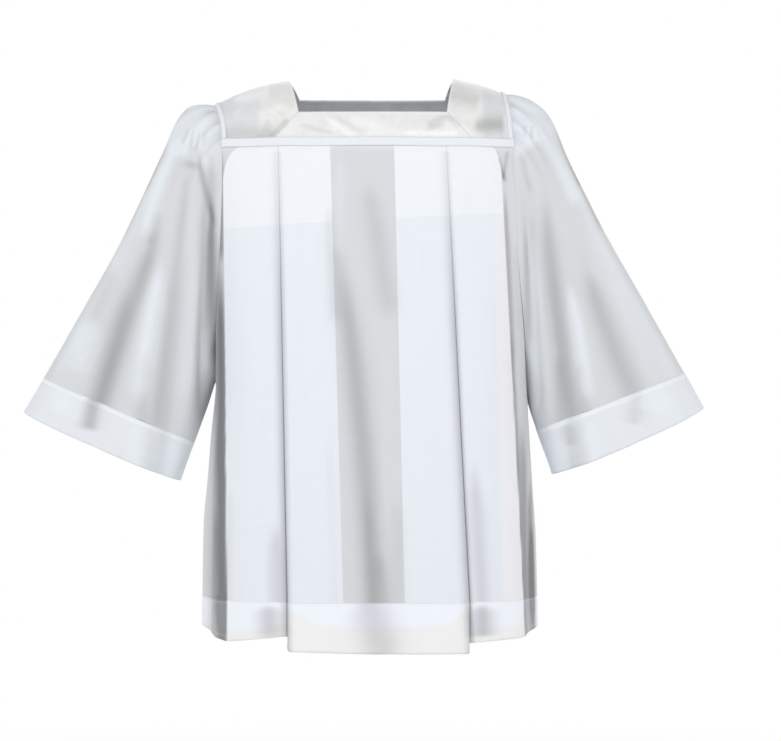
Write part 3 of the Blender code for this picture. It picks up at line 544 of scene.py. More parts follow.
def on_curve(keys, values, key):
    """The values at some keys, on a smooth curve through the values."""
    keys, values = np.array(keys, float), np.array(values, float)
    if keys[0] > keys[-1]:
        keys, values = keys[::-1], values[::-1]
    slopes = np.empty(len(keys))
    slopes[1:-1] = (values[2:] - values[:-2]) / (keys[2:] - keys[:-2])
    slopes[0] = (values[1] - values[0]) / (keys[1] - keys[0])
    slopes[-1] = (values[-1] - values[-2]) / (keys[-1] - keys[-2])
    key = np.asarray(key, float)
    near = np.clip(key, keys[0], keys[-1])
    i = np.clip(np.searchsorted(keys, near, side="right") - 1, 0, len(keys) - 2)
    span = keys[i + 1] - keys[i]
    t = (near - keys[i]) / span
    found = (
        values[i] * (1 + 2 * t) * (1 - t) ** 2
        + slopes[i] * span * t * (1 - t) ** 2
        + values[i + 1] * t * t * (3 - 2 * t)
        + slopes[i + 1] * span * t * t * (t - 1)
    )
    return found + np.where(key < keys[0], slopes[0], slopes[-1]) * (key - near)


def on_line(points, x):
    """The height at some places across, on straight lines through (x, height) points."""
    return np.interp(x, *zip(*points))


def run_along(points, axis=0):
    """Distances from the first point, along a path or along one axis of a grid."""
    steps = np.linalg.norm(np.diff(points, axis=axis), axis=-1)
    start = np.zeros_like(steps.take([0], axis=axis))
    return np.concatenate([start, np.cumsum(steps, axis=axis)], axis=axis)


def unit(vectors):
    return vectors / np.maximum(np.linalg.norm(vectors, axis=-1, keepdims=True), 1e-12)


def grid_normals(grid, closed=False):
    """The outward direction at each point of a grid."""
    if closed:
        wrapped = np.concatenate([grid[:, -1:], grid, grid[:, :1]], axis=1)
        across = wrapped[:, 2:] - wrapped[:, :-2]
    else:
        across = np.gradient(grid, axis=1)
    return unit(np.cross(np.gradient(grid, axis=0), across))


def moved_out(points, distance, closed=False):
    """The points of a grid, moved outwards."""
    return points + grid_normals(points, closed) * distance[..., None]


def outward(facing, row):
    """A row along x, turned to run to the right of a viewer in front of the cloth."""
    return row if facing == "front" else row[::-1]


def creased(cloths, points, normals):
    """How far the creases of some cloths move each point outwards, and how they shade it."""
    rise = np.zeros(points.shape[:-1])
    shade = np.zeros(points.shape[:-1])
    for (cloth, seen_from), rows in CREASES.items():
        if cloth not in cloths:
            continue
        toward = normals @ np.array(TOWARD[seen_from], float)
        facing = smooth((toward - CREASE_FACING[0]) / (CREASE_FACING[1] - CREASE_FACING[0]))
        across = points[..., 0 if seen_from in FACINGS else 1]
        fade_in, fade_out = LARGE_FADE if cloth == "all" else SMALL_FADE
        # A small crease starts narrow and widens as it falls.
        tip = 1.0 if cloth == "all" else CREASE_TIP
        for crease in (Crease(*row) for row in rows):
            run_x, run_z = crease.end_across - crease.across, crease.end_height - crease.height
            offset_x, offset_z = across - crease.across, points[..., 2] - crease.height
            length = math.hypot(run_x, run_z)
            along = (offset_x * run_x + offset_z * run_z) / length ** 2
            away = (run_x * offset_z - run_z * offset_x) / length
            bow = crease.bow * arch(np.clip(along, 0, 1))
            width = crease.width * blend(tip, 1.0, smooth(along / CREASE_OPEN))
            share = smooth(along / fade_in) * smooth((1 + fade_out - along) / fade_out)
            share = share * peak(away - bow, width)
            rise += crease.rise * share * np.maximum(toward, 0)
            shade += crease.shade * share * facing
    return rise, np.clip(shade, DARKEST, 1)


def joined_rise(rise, split, distance):
    """The rise of the creases, the same on both sides of a band's seam. The distance is from
    that seam, as a share of how far it reaches."""
    seam_rise = (rise[split - 1] + rise[split]) / 2
    return blend(rise, seam_rise, np.exp(-np.abs(distance)))


# ---- Body ----------------------------------------------------------------------------------

def ring_value(column, height):
    return on_curve([ring.height for ring in RINGS], [getattr(ring, column) for ring in RINGS],
                    height)


def half_width(sign, height):
    return np.where(np.asarray(sign) < 0, ring_value("left", height), ring_value("right", height))


def angle_at(x, height):
    """The angle round the body's ring, from the middle of the panel, at a distance across."""
    share = np.minimum(np.abs(x) / half_width(x, height), 1.0)
    return np.copysign(np.arcsin(share ** (ROUNDNESS / 2)), x)


def ring_point(angle, depth, height, facing):
    """Points on the ring at a height, moved in by a depth, and the outward directions there."""
    toward = TOWARD[facing][1]
    half = half_width(angle, height)
    reach = ring_value(facing, height)
    across = np.copysign(np.abs(np.sin(angle)) ** (2 / ROUNDNESS), angle)
    forward = np.abs(np.cos(angle)) ** (2 / ROUNDNESS)
    out = unit(np.stack([
        np.copysign(np.abs(across) ** (ROUNDNESS - 1) / half, across),
        toward * forward ** (ROUNDNESS - 1) / reach,
        np.zeros_like(across),
    ], axis=-1))
    place = np.stack([half * across, toward * reach * forward, height + 0 * across], axis=-1)
    return place - out * np.asarray(depth)[..., None], out


def armhole_open(side, height):
    """How far forwards or backwards the armhole's edge stands, at a height. Nothing below it."""
    share = np.clip((SEAM_HEIGHT - height) / (SEAM_HEIGHT - side.underarm), 0, 1)
    inner, outer = ARMHOLE_CURVE
    return ARMHOLE_EDGE * (1 - share ** inner) ** outer


def edge_angle(side, height, facing):
    """The angle round the ring where a panel ends: at the armhole, or at the side seam."""
    across = np.maximum(armhole_open(side, height), SIDE_SEAM)
    return side.sign * np.arccos((across / ring_value(facing, height)) ** (ROUNDNESS / 2))


def turn(edge, start_depth, end_depth, toward):
    """Places round a fold of the cloth, from one depth to another, out to an edge."""
    radius = abs(end_depth - start_depth) / 2
    angle = math.pi * (np.arange(TURN_STEPS + 1) / TURN_STEPS - 0.5)
    x = edge - toward * radius * (1 - np.cos(angle))
    return np.stack([x, blend(start_depth, end_depth, (1 + np.sin(angle)) / 2)], axis=1)


def between(start, end, steps):
    """Places between two (x, depth) places, without either of them."""
    share = np.arange(1, steps)[:, None] / steps
    return blend(np.asarray(start), np.asarray(end), share)


def down_share(height):
    return (SEAM_HEIGHT - height) / (SEAM_HEIGHT - RINGS[-1].height)


def pleat_lines(pleat, height):
    """Across a pleat: an end of its hidden layers, where its folds meet, and the other end."""
    middle, left, right = (blend(*ends, down_share(height)) for ends in pleat)
    return middle - left, middle, middle + right


def pleat_path(pleat, height, left_depth, right_depth):
    """(x, depth) through one inverted box pleat, from its left fold to its right one."""
    share = down_share(height)
    left_end, middle, right_end = pleat_lines(pleat, height)
    gap = blend(*FOLD_GAP, share) / 2
    layer = blend(*LAYER, share)
    turns = (
        turn(middle - gap, left_depth, layer, 1),
        turn(left_end, layer, 2 * layer, -1),
        turn(right_end, 2 * layer, layer, 1),
        turn(middle + gap, layer, right_depth, -1),
    )
    parts = [turns[0]]
    for before, after, count in zip(turns, turns[1:], (HIDDEN_STEPS, UNDERLAY_STEPS, HIDDEN_STEPS)):
        parts += [between(before[-1], after[0], count), after]
    return np.concatenate(parts)


def panel_path(facing, height):
    """A whole row of a panel between its sides: panel number or share of a pleat, x, depth."""
    first, second = PLEATS[facing]
    lift = -CENTRE_LIFT_HEM * down_share(height)
    pleats = pleat_path(first, height, 0.0, lift), pleat_path(second, height, lift, 0.0)
    start, end = np.array((-SIDE_START, 0.0)), np.array((SIDE_START, 0.0))
    left = np.concatenate([start[None], between(start, pleats[0][0], STRIP_STEPS)])
    middle = between(pleats[0][-1], pleats[1][0], CENTRE_STEPS)
    right = np.concatenate([between(pleats[1][-1], end, STRIP_STEPS), end[None]])
    count = len(pleats[0])
    panel = np.concatenate([
        np.zeros(len(left)), np.linspace(0, 1, count), np.ones(len(middle)),
        np.linspace(1, 2, count), np.full(len(right), 2.0),
    ])
    return panel, np.concatenate([left, pleats[0], middle, pleats[1], right])


def hem_height(panel, x):
    """The hem's height on the outer layers, and on the hidden ones of a pleat between two."""
    drop = smooth(1 - np.abs(1 - panel) / PLEAT_DROP)
    outer = np.where(panel <= 1, on_line(HEM[0], x), on_line(HEM[2], x))
    return blend(outer, on_line(HEM[1], x), drop)


def turned_height(facing, panel, x):
    """Where the hem that is turned up inside the band ends."""
    nearest = np.clip(np.round(panel), 0, 2).astype(int)
    return np.choose(nearest, [on_line(points, x) for points in TURNED_UP[facing]])


def inside_layers(facing, panel, x, height):
    """How far inside the edges of a pleat's hidden layers a place is. Below zero outside."""
    first, second = (pleat_lines(pleat, height) for pleat in PLEATS[facing])
    # The outer edge of each strip curves in, just below the yoke. The single cloth's grey there is
    # also painted shade at the strip's top corner.
    corners = []
    for width, tall in STRIP_CORNERS:
        under = np.clip(1 - (WELT_BOTTOM - height) / tall, 0, 1)
        corners.append(width * (1 - np.sqrt(1 - under ** 2)))
    left = x - first[0] - corners[0]
    right = second[2] - corners[1] - x
    middle = np.maximum(first[2] - x, x - second[0])
    found = np.where(panel == 1, middle, np.where(panel < 1, left, right))
    return np.where(panel == np.round(panel), found, HIDDEN)


def side_part(side, panel, facing, height, hem_share):
    """The part of a panel's row between the armhole or side seam and its strip of pleat."""
    share = np.arange(SIDE_STEPS) / SIDE_STEPS
    start = side.sign * SIDE_START
    outer = side.sign * half_width(side.sign, height)
    hem = on_line(HEM[panel], blend(outer, start, share ** 2))
    place = blend(height, hem, hem_share)
    angle = blend(edge_angle(side, place, facing), angle_at(start + 0 * place, place), share)
    points, out = ring_point(angle, 0 * place, place, facing)
    return points, out, np.full(SIDE_STEPS, float(panel))


def panel_row(facing, height, hem_share=0.0):
    """A row of points round a panel, with the outward directions and panels of the places."""
    left = side_part(SIDES[0], 0, facing, height, hem_share)
    right = [values[::-1] for values in side_part(SIDES[1], 2, facing, height, hem_share)]
    panel, places = panel_path(facing, height)
    x, depth = places.T
    place = blend(height, hem_height(panel, x), hem_share)
    points, out = ring_point(angle_at(x, place), depth, place, facing)
    return [outward(facing, np.concatenate(values))
            for values in zip(left, (points, out, panel), right)]


def side_share(columns):
    """The large folds move only the sides of a panel, clear of its pleats."""
    column = np.arange(columns)
    from_end = np.minimum(column, columns - 1 - column)
    return smooth(1 - from_end / (SIDE_STEPS + SIDE_BLEND))


def flutes(across, height):
    """Faint upright waves in the hanging cloth: two sines that wander, and whose lengths don't
    fit into each other, so that no two waves are alike."""
    depth = blend(*FLUTE_DEPTH, np.clip(down_share(height), 0, 1))
    phase = across / FLUTE_WIDTH * 2 * math.pi
    wide = np.sin(phase + 0.9 * np.sin(phase * 0.37 + 1.3))
    narrow = np.sin(phase * 1.73 + 0.6 + 1.1 * np.sin(height * 9))
    return depth * (wide + 0.5 * narrow) / 1.5


def valley(facing, x, height):
    """The shade where two folds meet, wider on one side of them, and the light below the welt."""
    shade = np.zeros(x.shape)
    below = WELT_BOTTOM - height
    for pleat in PLEATS[facing]:
        away = x - pleat_lines(pleat, height)[1]
        depth = blend(*VALLEY_SHADE, smooth(below / VALLEY_GROWTH))
        shade += depth * peak(away, np.where(away < 0, *VALLEY_WIDTH))
    return (shade * smooth(below / VALLEY_START)
            + UNDER_WELT_SHADE * peak(below - UNDER_WELT, UNDER_WELT))


def panel_creases(facing, points, out, inside, split):
    """The rise and shade of the creases over a panel of the body, and over its hem band."""
    below = WELT_BOTTOM - points[..., 2]
    solid = side_share(points.shape[1])
    rise, shade = np.zeros(below.shape), np.zeros(below.shape)
    for cloth, part in (("body", slice(0, split)), ("band", slice(split, None))):
        all_rise, all_shade = creased(("all",), points[part], out[part])
        own_rise, own_shade = creased(("all", cloth), points[part], out[part])
        side_rise, side_shade = creased(("all", "side"), points[part], out[part])
        single = smooth(-inside[part] / STRIP_EDGE)
        own_rise = own_rise - all_rise + (side_rise - all_rise) * single
        rise[part] = all_rise * solid + own_rise * smooth(below[part] / CREASE_START)
        shade[part] = own_shade - all_shade + side_shade * single
    from_seam = (points[..., 2] - BAND_HEIGHT) / SEAM_REACH
    rise = joined_rise(rise, split, from_seam)
    rise += flutes(points[..., 0], points[..., 2]) * smooth(below / FLUTE_START)
    shade += valley(facing, points[..., 0], points[..., 2])
    return rise, np.clip(shade, DARKEST, 1)


def make_panel(facing):
    """Points and marks of a whole panel: the rows of the voile, then those of the hem band."""
    heights = np.linspace(0, 1, PANEL_ROWS + 1)
    heights = blend(SEAM_HEIGHT - SEAM_GAP / 2, BAND_HEIGHT + SEAM_GAP / 2, heights)
    rows = [panel_row(facing, height) for height in heights]
    top = BAND_HEIGHT - SEAM_GAP / 2
    rows += [panel_row(facing, top, i / BAND_ROWS) for i in range(BAND_ROWS + 1)]
    points, out, panel = (np.stack(values) for values in zip(*rows))
    split = PANEL_ROWS + 1
    x, height = points[..., 0], points[..., 2]
    doubled = DOUBLED_EDGE[facing]
    inside = inside_layers(facing, panel, x, height)
    rise, shade = panel_creases(facing, points, out, inside, split)
    marks = {
        "layers": inside,
        "facing": height - on_line(FACING_END[facing], x),
        "doubled": np.sign(doubled[0]) * (x - blend(*doubled, down_share(height))),
        "turned": height - turned_height(facing, panel, x),
        "shade": shade,
    }
    points = points + out * rise[..., None]
    along = run_along(points[PANEL_ROWS // 2])
    uv = np.stack([np.broadcast_to(along, x.shape), SEAM_HEIGHT - height], axis=-1)
    return points, marks, uv, split


def part_of(points, marks, uv, part, closed=False):
    points = points[part]
    return Shell(points, grid_normals(points, closed),
                 {name: mark[part] for name, mark in marks.items()}, uv[part], closed)


# ---- Yoke ----------------------------------------------------------------------------------

def ridge_height(side, x):
    """Height of the top of the shoulder, a little rounded between the neck and the sleeve."""
    out = np.maximum(np.abs(x) - side.neck_ridge, 0.0)
    share = np.minimum(out / (side.shoulder - side.neck_ridge), 1.0)
    return side.ridge_height - side.ridge_slope * out + side.ridge_bulge * arch(share)


def yoke_angle(side, x, height):
    """The angle forwards from the top of the shoulder where the yoke passes a height."""
    return np.arccos((height - SEAM_HEIGHT) / (ridge_height(side, x) - SEAM_HEIGHT))


def yoke_point(side, distance, angle, lift=0.0):
    """Points of the yoke. The angle is 0 on the shoulder, -90 degrees at the front seam."""
    distance, angle = np.broadcast_arrays(np.asarray(distance, float), np.asarray(angle, float))
    half = half_width(side.sign, SEAM_HEIGHT)
    narrowed = (1 - (distance / half) ** ROUNDNESS) ** (1 / ROUNDNESS)
    reach = np.where(angle < 0, ring_value("front", SEAM_HEIGHT),
                     ring_value("back", SEAM_HEIGHT)) * narrowed
    rise = ridge_height(side, distance) - SEAM_HEIGHT
    out = unit(np.stack([0 * angle, np.sin(angle) / reach, np.cos(angle) / rise], axis=-1))
    place = np.stack([
        side.sign * distance,
        reach * np.sin(angle),
        SEAM_HEIGHT + rise * np.cos(angle),
    ], axis=-1)
    return place + out * lift


def armhole_distance(side, angle):
    """Distance from the middle to the outer edge of the yoke, at an angle over the shoulder."""
    return blend(side.shoulder, side.corner, np.sin(angle) ** 2)


def neck_and_mitre(side, share):
    """The inner edge of a shoulder band: distance and angle, from front seam to back seam."""
    front, _, back = SHOULDER_STOPS
    low = SEAM_HEIGHT + SEAM_GAP / 2
    distance = np.interp(share, (0, *SHOULDER_STOPS, 1), (
        side.mitre_front, side.neck_front, side.neck_ridge, side.neck_back, side.mitre_back))
    if share < front:
        height = blend(low, NECK["front"], share / front)
        return distance, -yoke_angle(side, distance, height)
    if share > back:
        height = blend(NECK["back"], low, (share - back) / (1 - back))
        return distance, yoke_angle(side, distance, height)
    at_front = yoke_angle(side, side.neck_front, NECK["front"])
    at_back = yoke_angle(side, side.neck_back, NECK["back"])
    return distance, np.interp(share, SHOULDER_STOPS, (-at_front, 0, at_back))


def make_shoulder(side):
    """The band over a shoulder, between the neck with its mitres and the armhole."""
    limit = yoke_angle(side, side.corner, SEAM_HEIGHT + SEAM_GAP / 2)
    share = np.arange(SHOULDER_STEPS + 1) / SHOULDER_STEPS
    rows, from_neck = [], []
    front, _, back = SHOULDER_STOPS
    for i in range(SHOULDER_ROWS + 1):
        down = i / SHOULDER_ROWS
        distance, angle = neck_and_mitre(side, down)
        outer_angle = blend(-limit, limit, down)
        outer = armhole_distance(side, outer_angle)
        across = blend(distance + SEAM_GAP, outer, share)
        rows.append(yoke_point(side, across, blend(angle, outer_angle, share)))
        beside_neck = front <= down <= back
        from_neck.append(across - distance if beside_neck else HIDDEN + 0 * across)
    points, from_neck = np.stack(rows), np.stack(from_neck)
    if side.sign > 0:
        points, from_neck = points[::-1], from_neck[::-1]
    return finished_yoke(points, from_neck, SATIN_END[side.name] - np.abs(points[..., 0]))


def make_yoke_band(facing):
    """The band below the neck, front or back, between its two mitres."""
    rows = []
    for i in range(YOKE_ROWS + 1):
        share = i / YOKE_ROWS
        height = blend(NECK[facing], SEAM_HEIGHT + SEAM_GAP / 2, share)
        ends = []
        for side in SIDES:
            corner, mitre = getattr(side, f"neck_{facing}"), getattr(side, f"mitre_{facing}")
            ends.append(side.sign * (blend(corner, mitre, share) - MITRE_GAP))
        x = np.linspace(*ends, YOKE_STEPS + 1)
        found = []
        for side in SIDES:
            angle = TOWARD[facing][1] * yoke_angle(side, np.abs(x), height)
            found.append(yoke_point(side, np.abs(x), angle))
        rows.append(outward(facing, np.where(x[:, None] < 0, *found)))
    points = np.stack(rows)
    return finished_yoke(points, NECK[facing] - points[..., 2], np.full(points.shape[:2], HIDDEN))


def finished_yoke(points, from_neck, lined):
    """Works the creases into a piece of the yoke."""
    rise, shade = creased(("yoke",), points, grid_normals(points))
    points = moved_out(points, rise * smooth((points[..., 2] - WELT_TOP) / YOKE_CREASE_START))
    marks = {"strip": BINDING_WIDTH - from_neck, "layers": lined, "shade": shade}
    uv = np.stack([points[..., 0], points[..., 1] - points[..., 2]], axis=-1)
    return Shell(points, grid_normals(points), marks, uv, False)


def make_welt(facing):
    """The narrow band over the seam between the yoke and the heads of the pleats."""
    ends = [edge_angle(side, SEAM_HEIGHT, facing) - side.sign * WELT_END for side in SIDES]
    angle = np.linspace(*ends, TRIM_STEPS + 1)
    pucker = WELT_PUCKER * np.sin(angle * WELT_PUCKERS)
    wander = WELT_WANDER * np.sin(angle * WELT_WANDERS + 1)
    rows = []
    for i in range(TRIM_ROWS + 1):
        share = i / TRIM_ROWS
        lift = WELT_LIFT + WELT_CROWN * arch(share) + pucker
        row, _ = ring_point(angle, -lift, SEAM_HEIGHT + 0 * angle, facing)
        row[:, 2] = blend(WELT_TOP, WELT_BOTTOM, share) + wander
        rows.append(outward(facing, row))
    return finished_trim(np.stack(rows))


def make_piping(side):
    """The narrow ridge along the outer edge of the yoke, over the shoulder."""
    limit = yoke_angle(side, side.corner, WELT_TOP + 2 * SEAM_GAP)
    angle = np.linspace(-limit, limit, TRIM_STEPS + 1)
    outer = armhole_distance(side, angle) - PIPING_INSET
    away = unit(np.stack([0 * angle, np.sin(angle), np.cos(angle)], axis=-1))
    rows = []
    for i in range(TRIM_ROWS + 1):
        share = i / TRIM_ROWS
        row = yoke_point(side, outer - PIPING_WIDTH * (1 - share), angle, PIPING_LIFT)
        rows.append(row + away * PIPING_CROWN * arch(share))
    points = np.stack(rows, axis=1)
    return finished_trim(points[::-1] if side.sign > 0 else points)


def finished_trim(points):
    down = np.linalg.norm(points - points[:1], axis=-1)
    uv = np.stack([run_along(points, 1), down], axis=-1)
    marks = {"shade": np.zeros(points.shape[:2])}
    return Shell(points, grid_normals(points), marks, uv, False)


# ---- Sleeves -------------------------------------------------------------------------------

def armhole_ring(side):
    """The armhole's edge, with each point's column among those of the solid.

    It starts on the shoulder and runs down the front and up the back. The place and the column
    of its lowest point are returned too.
    """
    limit = yoke_angle(side, side.corner, SEAM_HEIGHT + SEAM_GAP / 2)
    tucked = TUCK_COLUMNS * len(TUCK_DEPTHS)
    heights = [height for height in ARMHOLE_ROWS if height >= side.underarm]
    lowest = tucked + len(heights) - 1
    share = np.arange(HEAD_STEPS) / HEAD_STEPS
    index = tucked + (lowest - tucked) * np.linspace(0, 1, ARMHOLE_STEPS + 1)
    height = np.interp(index, np.arange(tucked, lowest + 1), heights)
    halves = []
    for facing in FACINGS:
        angle = TOWARD[facing][1] * limit * share
        head = yoke_point(side, armhole_distance(side, angle), angle)
        body, _ = ring_point(edge_angle(side, height, facing), 0 * height, height, facing)
        halves.append(np.concatenate([head, body]))
    front, back = halves
    front[-1, 1] = 0.0
    column = np.concatenate([share * tucked, index])
    ring = np.concatenate([front, back[-2:0:-1]])
    return ring, np.concatenate([column, column[-2:0:-1]]), len(front) - 1, lowest


def top_line_point(side, share):
    """Points of the sleeve's outer line, seen from the front."""
    places = np.array(side.top_line)
    lengths = run_along(places)
    at = share * lengths[-2]
    return np.stack([on_curve(lengths, places[:, 0], at), on_curve(lengths, places[:, 1], at)], -1)


def sleeve_section(side, share, depth, station):
    """Points of an oval section: the station is 0 on the outer line and 1 on the inner one."""
    start = np.array((float(half_width(side.sign, side.underarm)), side.underarm))
    end = np.array(side.cuff_hem)
    seam = (side.cuff_top - start[0]) / (end[0] - start[0])
    past = max(share - 1, 0.0)
    if past:
        top = blend(top_line_point(side, 1.0), np.array(side.top_line[-1]), past)
        low = blend(start, end, seam + (1 - seam) * past)
    else:
        top = top_line_point(side, share)
        low = blend(start, end, seam * share)
    place = blend(top, low, ((1 - np.cos(math.pi * station)) / 2)[:, None])
    across = np.abs(np.sin(math.pi * station))
    out = depth * across ** OVAL_POWER * (1 - OVAL_TAPER * station)
    return np.stack([side.sign * place[:, 0], out, place[:, 1] - side.cuff_bow * across * past],
                    axis=-1)


def sleeve_row(side, share, ring, front, along, even):
    """A ring of the sleeve, which turns from the armhole's edge into an oval.

    Its points are spread round it by their way along the armhole at first, and evenly by their
    columns at the cuff.
    """
    depth = blend(SLEEVE_DEPTH_TOP, SLEEVE_DEPTH_CUFF, min(share, 1.0))
    station = blend(along, even, min(share, 1.0))
    oval = sleeve_section(side, share, np.where(front, -depth, depth), station)
    under = smooth(1 - (1 - station) / UNDERARM_REACH)
    shift = side.sign * blend(SLEEVE_SHIFT, UNDERARM_SHIFT, under)
    start = ring + np.stack([shift, 0 * shift, 0 * shift], axis=-1)
    join = blend(HEAD_JOIN, SLEEVE_JOIN, smooth(station / HEAD_REACH))
    return blend(start, oval, smooth(share / join)[:, None])


def sleeve_grid(side):
    """Points of a sleeve and its cuff, before its creases. Each row's share of the sleeve, each
    point's column, and its count from the lowest line go with them."""
    ring, column, lowest_place, lowest = armhole_ring(side)
    place = np.arange(len(ring))
    front = place <= lowest_place
    path = run_along(np.concatenate([ring, ring[:1]]))
    length = path[lowest_place]
    along = np.where(front, path[:-1] / length, (path[-1] - path[:-1]) / (path[-1] - length))
    gap = CUFF_GAP / np.linalg.norm(np.subtract(*side.top_line[-2:]))
    shares = np.concatenate([np.linspace(0, 1, SLEEVE_ROWS + 1) ** SLEEVE_SPACING,
                             np.linspace(1 + gap, 2.0, CUFF_ROWS + 1)])
    points = np.stack([sleeve_row(side, share, ring, front, along, column / lowest)
                       for share in shares])
    found = (points, np.broadcast_to(column, points.shape[:2]),
             np.broadcast_to(lowest_place - place, points.shape[:2]))
    if side.sign > 0:
        found = (np.concatenate([values[:, :1], values[:, :0:-1]], axis=1) for values in found)
    return shares[:, None], *found


def tuck_depth(share, column):
    """How far a tuck at the sleeve's head sinks in."""
    number = np.minimum(column // TUCK_COLUMNS, len(TUCK_DEPTHS) - 1).astype(int)
    tucked = (column < TUCK_COLUMNS * len(TUCK_DEPTHS)) & (share < TUCK_LENGTH)
    along = share / TUCK_LENGTH
    run = blend(TUCK_START, 1.0, smooth(along / TUCK_RISE)) * (1 - smooth(along))
    place = np.sin(math.pi * (column % TUCK_COLUMNS) / TUCK_COLUMNS) ** 2
    return np.where(tucked, np.array(TUCK_DEPTHS)[number] * run * place, 0)


def inner_shade(side, normals, shares):
    """The shade on the side of the sleeve by the body, away from its two ends."""
    low, high = INNER_FACING
    inward = smooth((-side.sign * normals[..., 0] - low) / (high - low))
    for off, full in (INNER_START, INNER_END):
        inward = inward * smooth((shares - off) / (full - off))
    return side.inner_shade * inward


def make_sleeve(side):
    """Points and marks of a sleeve: its own rows, then those of its cuff band."""
    shares, points, column, from_seam = sleeve_grid(side)
    split = SLEEVE_ROWS + 1
    normals = grid_normals(points, True)
    rise, shade = np.zeros(column.shape), np.zeros(column.shape)
    for cloth, part in (("sleeve", slice(0, split)), ("cuff", slice(split, None))):
        rise[part], shade[part] = creased(("all", cloth), points[part], normals[part])
    rise = joined_rise(rise, split, (shares - 1) / CUFF_SEAM_REACH)
    points = points + normals * (rise * smooth(shares / SLEEVE_FADE))[..., None]
    sink = tuck_depth(np.broadcast_to(shares, column.shape), column)
    move = grid_normals(points, True) * sink[..., None]
    # On the armhole the tucks stay flat against the yoke.
    move[0, :, 0] = 0
    points = points - move
    shade = shade - TUCK_SHADE * sink / max(TUCK_DEPTHS) - inner_shade(side, normals, shares)
    wide = np.linalg.norm(np.roll(points, -1, axis=1) - points, axis=-1)
    down = run_along(points)
    top_strip = CUFF_STRIP - (down - down[split])
    seam_strip = CUFF_SEAM - np.abs(from_seam * wide - CUFF_SEAM)
    marks = {"shade": np.clip(shade, DARKEST, 1), "strip": np.maximum(top_strip, seam_strip)}
    wave = EDGE_WAVE * np.sin(2 * math.pi * np.cumsum(wide, axis=1) / EDGE_WAVE_LENGTH)
    edge = smooth((shares - EDGE_WAVE_START) / (2 - EDGE_WAVE_START))
    points = moved_out(points, wave * edge, True)
    across = np.cumsum(wide[SLEEVE_ROWS // 2])
    uv = np.stack([np.broadcast_to(across, column.shape), down], axis=-1)
    return points, marks, uv, split


# ---- From points to pieces -----------------------------------------------------------------

def select_only(piece):
    bpy.ops.object.select_all(action="DESELECT")
    piece.select_set(True)
    bpy.context.view_layer.objects.active = piece


def wall_faces(rows, columns, closed):
    """The four-sided faces of a wall: outer and inner ones, whose count is returned too, and
    then those of its rim."""
    index = np.arange(rows * columns).reshape(rows, columns)
    after = np.roll(index, -1, axis=1)
    across = slice(None) if closed else slice(0, columns - 1)
    quads = np.stack([index[:-1, across], index[1:, across], after[1:, across],
                      after[:-1, across]], axis=-1).reshape(-1, 4)
    edges = [(index[0, across], after[0, across]), (after[-1, across], index[-1, across])]
    if not closed:
        edges += [(index[1:, 0], index[:-1, 0]), (index[:-1, -1], index[1:, -1])]
    rim = [np.stack([edge, near, near + index.size, edge + index.size], axis=-1)
           for edge, near in edges]
    return np.concatenate([quads, quads[:, ::-1] + index.size, *rim]), 2 * len(quads)


def corner_places(shell, corners):
    """The places of the faces' corners on the flat cloth."""
    rows, columns = shell.uv.shape[:2]
    uv = np.tile(shell.uv.reshape(-1, 2), (2, 1))[corners].reshape(-1, 4, 2)
    if shell.closed:
        # The last column of faces runs on past the end of the map, not back across it.
        column = (corners % (rows * columns) % columns).reshape(-1, 4)
        last = (column == columns - 1).any(axis=1) & (column == 0).any(axis=1)
        end = 2 * shell.uv[0, -1, 0] - shell.uv[0, -2, 0]
        uv[..., 0] = np.where(last[:, None] & (column == 0), end, uv[..., 0])
    return uv


def edge_roll(distance, roll):
    """Extra thickness beside an edge that is rolled or turned under."""
    size, width = roll
    return size * peak(distance, width)


def band_roll(rows):
    """Extra thickness towards the last row of a band, where its cloth is folded."""
    return edge_roll(np.arange(rows, -1, -1)[:, None] / rows * BAND_DEPTH, BAND_ROLL)


def make_cloth(name, node, shell, wall, look, roll=0.0):
    """Makes a closed thin wall on both sides of a grid of points, in place of a solid.

    Its look is its material and slot; the slot is not used.
    """
    half = np.full(shell.points.shape[:2], wall / 2) + roll
    out = shell.normals * half[..., None]
    layers = [shell.points + out, shell.points - out]
    vertices = np.concatenate([layer.reshape(-1, 3) for layer in layers])
    faces, smooth_faces = wall_faces(*half.shape, shell.closed)
    mesh = bpy.data.meshes.new(name)
    mesh.from_pydata(vertices, [], faces)
    for mark, values in shell.marks.items():
        attribute = mesh.attributes.new(mark, "FLOAT", "POINT")
        attribute.data.foreach_set("value", np.tile(values.ravel(), 2).astype(np.float32))
    corners = np.empty(len(mesh.loops), np.int32)
    mesh.loops.foreach_get("vertex_index", corners)
    cloth_map = mesh.uv_layers.new(name="cloth")
    cloth_map.data.foreach_set("uv", corner_places(shell, corners).astype(np.float32).ravel())
    # The rim is flat shaded, so that it doesn't darken the cloth beside it.
    mesh.polygons.foreach_set("use_smooth", np.arange(len(faces)) < smooth_faces)
    material, slot = look
    mesh.materials.append(material)
    mesh.validate()
    piece = bpy.data.objects.new(name, mesh)
    bpy.context.scene.collection.objects.link(piece)
    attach(piece, "root")
    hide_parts(node)


# ---- Materials -----------------------------------------------------------------------------

VOILE_THREAD = 0.0008      # width that the threads are drawn at
SATIN_THREAD = 0.0006
# Slubs along each of the two threads, about 3 mm wide and 0.1 m long: how many in a metre.
SLUBS = ((340.0, 9.0, 1.0), (12.0, 300.0, 1.0))
DARKENING = 0.35           # share of its colour that painted shade takes away where the shade is -1
BRIGHTENING = 0.9          # share of the painted highlight colour that it takes on where the shade is 1
WHITE = (1.0, 1.0, 1.0, 1.0)


def linear(hex_colour):
    """An sRGB hex colour as linear red, green, blue and alpha."""
    parts = (int(hex_colour[i:i + 2], 16) / 255 for i in (1, 3, 5))
    return (*(c / 12.92 if c <= 0.04045 else ((c + 0.055) / 1.055) ** 2.4 for c in parts), 1.0)


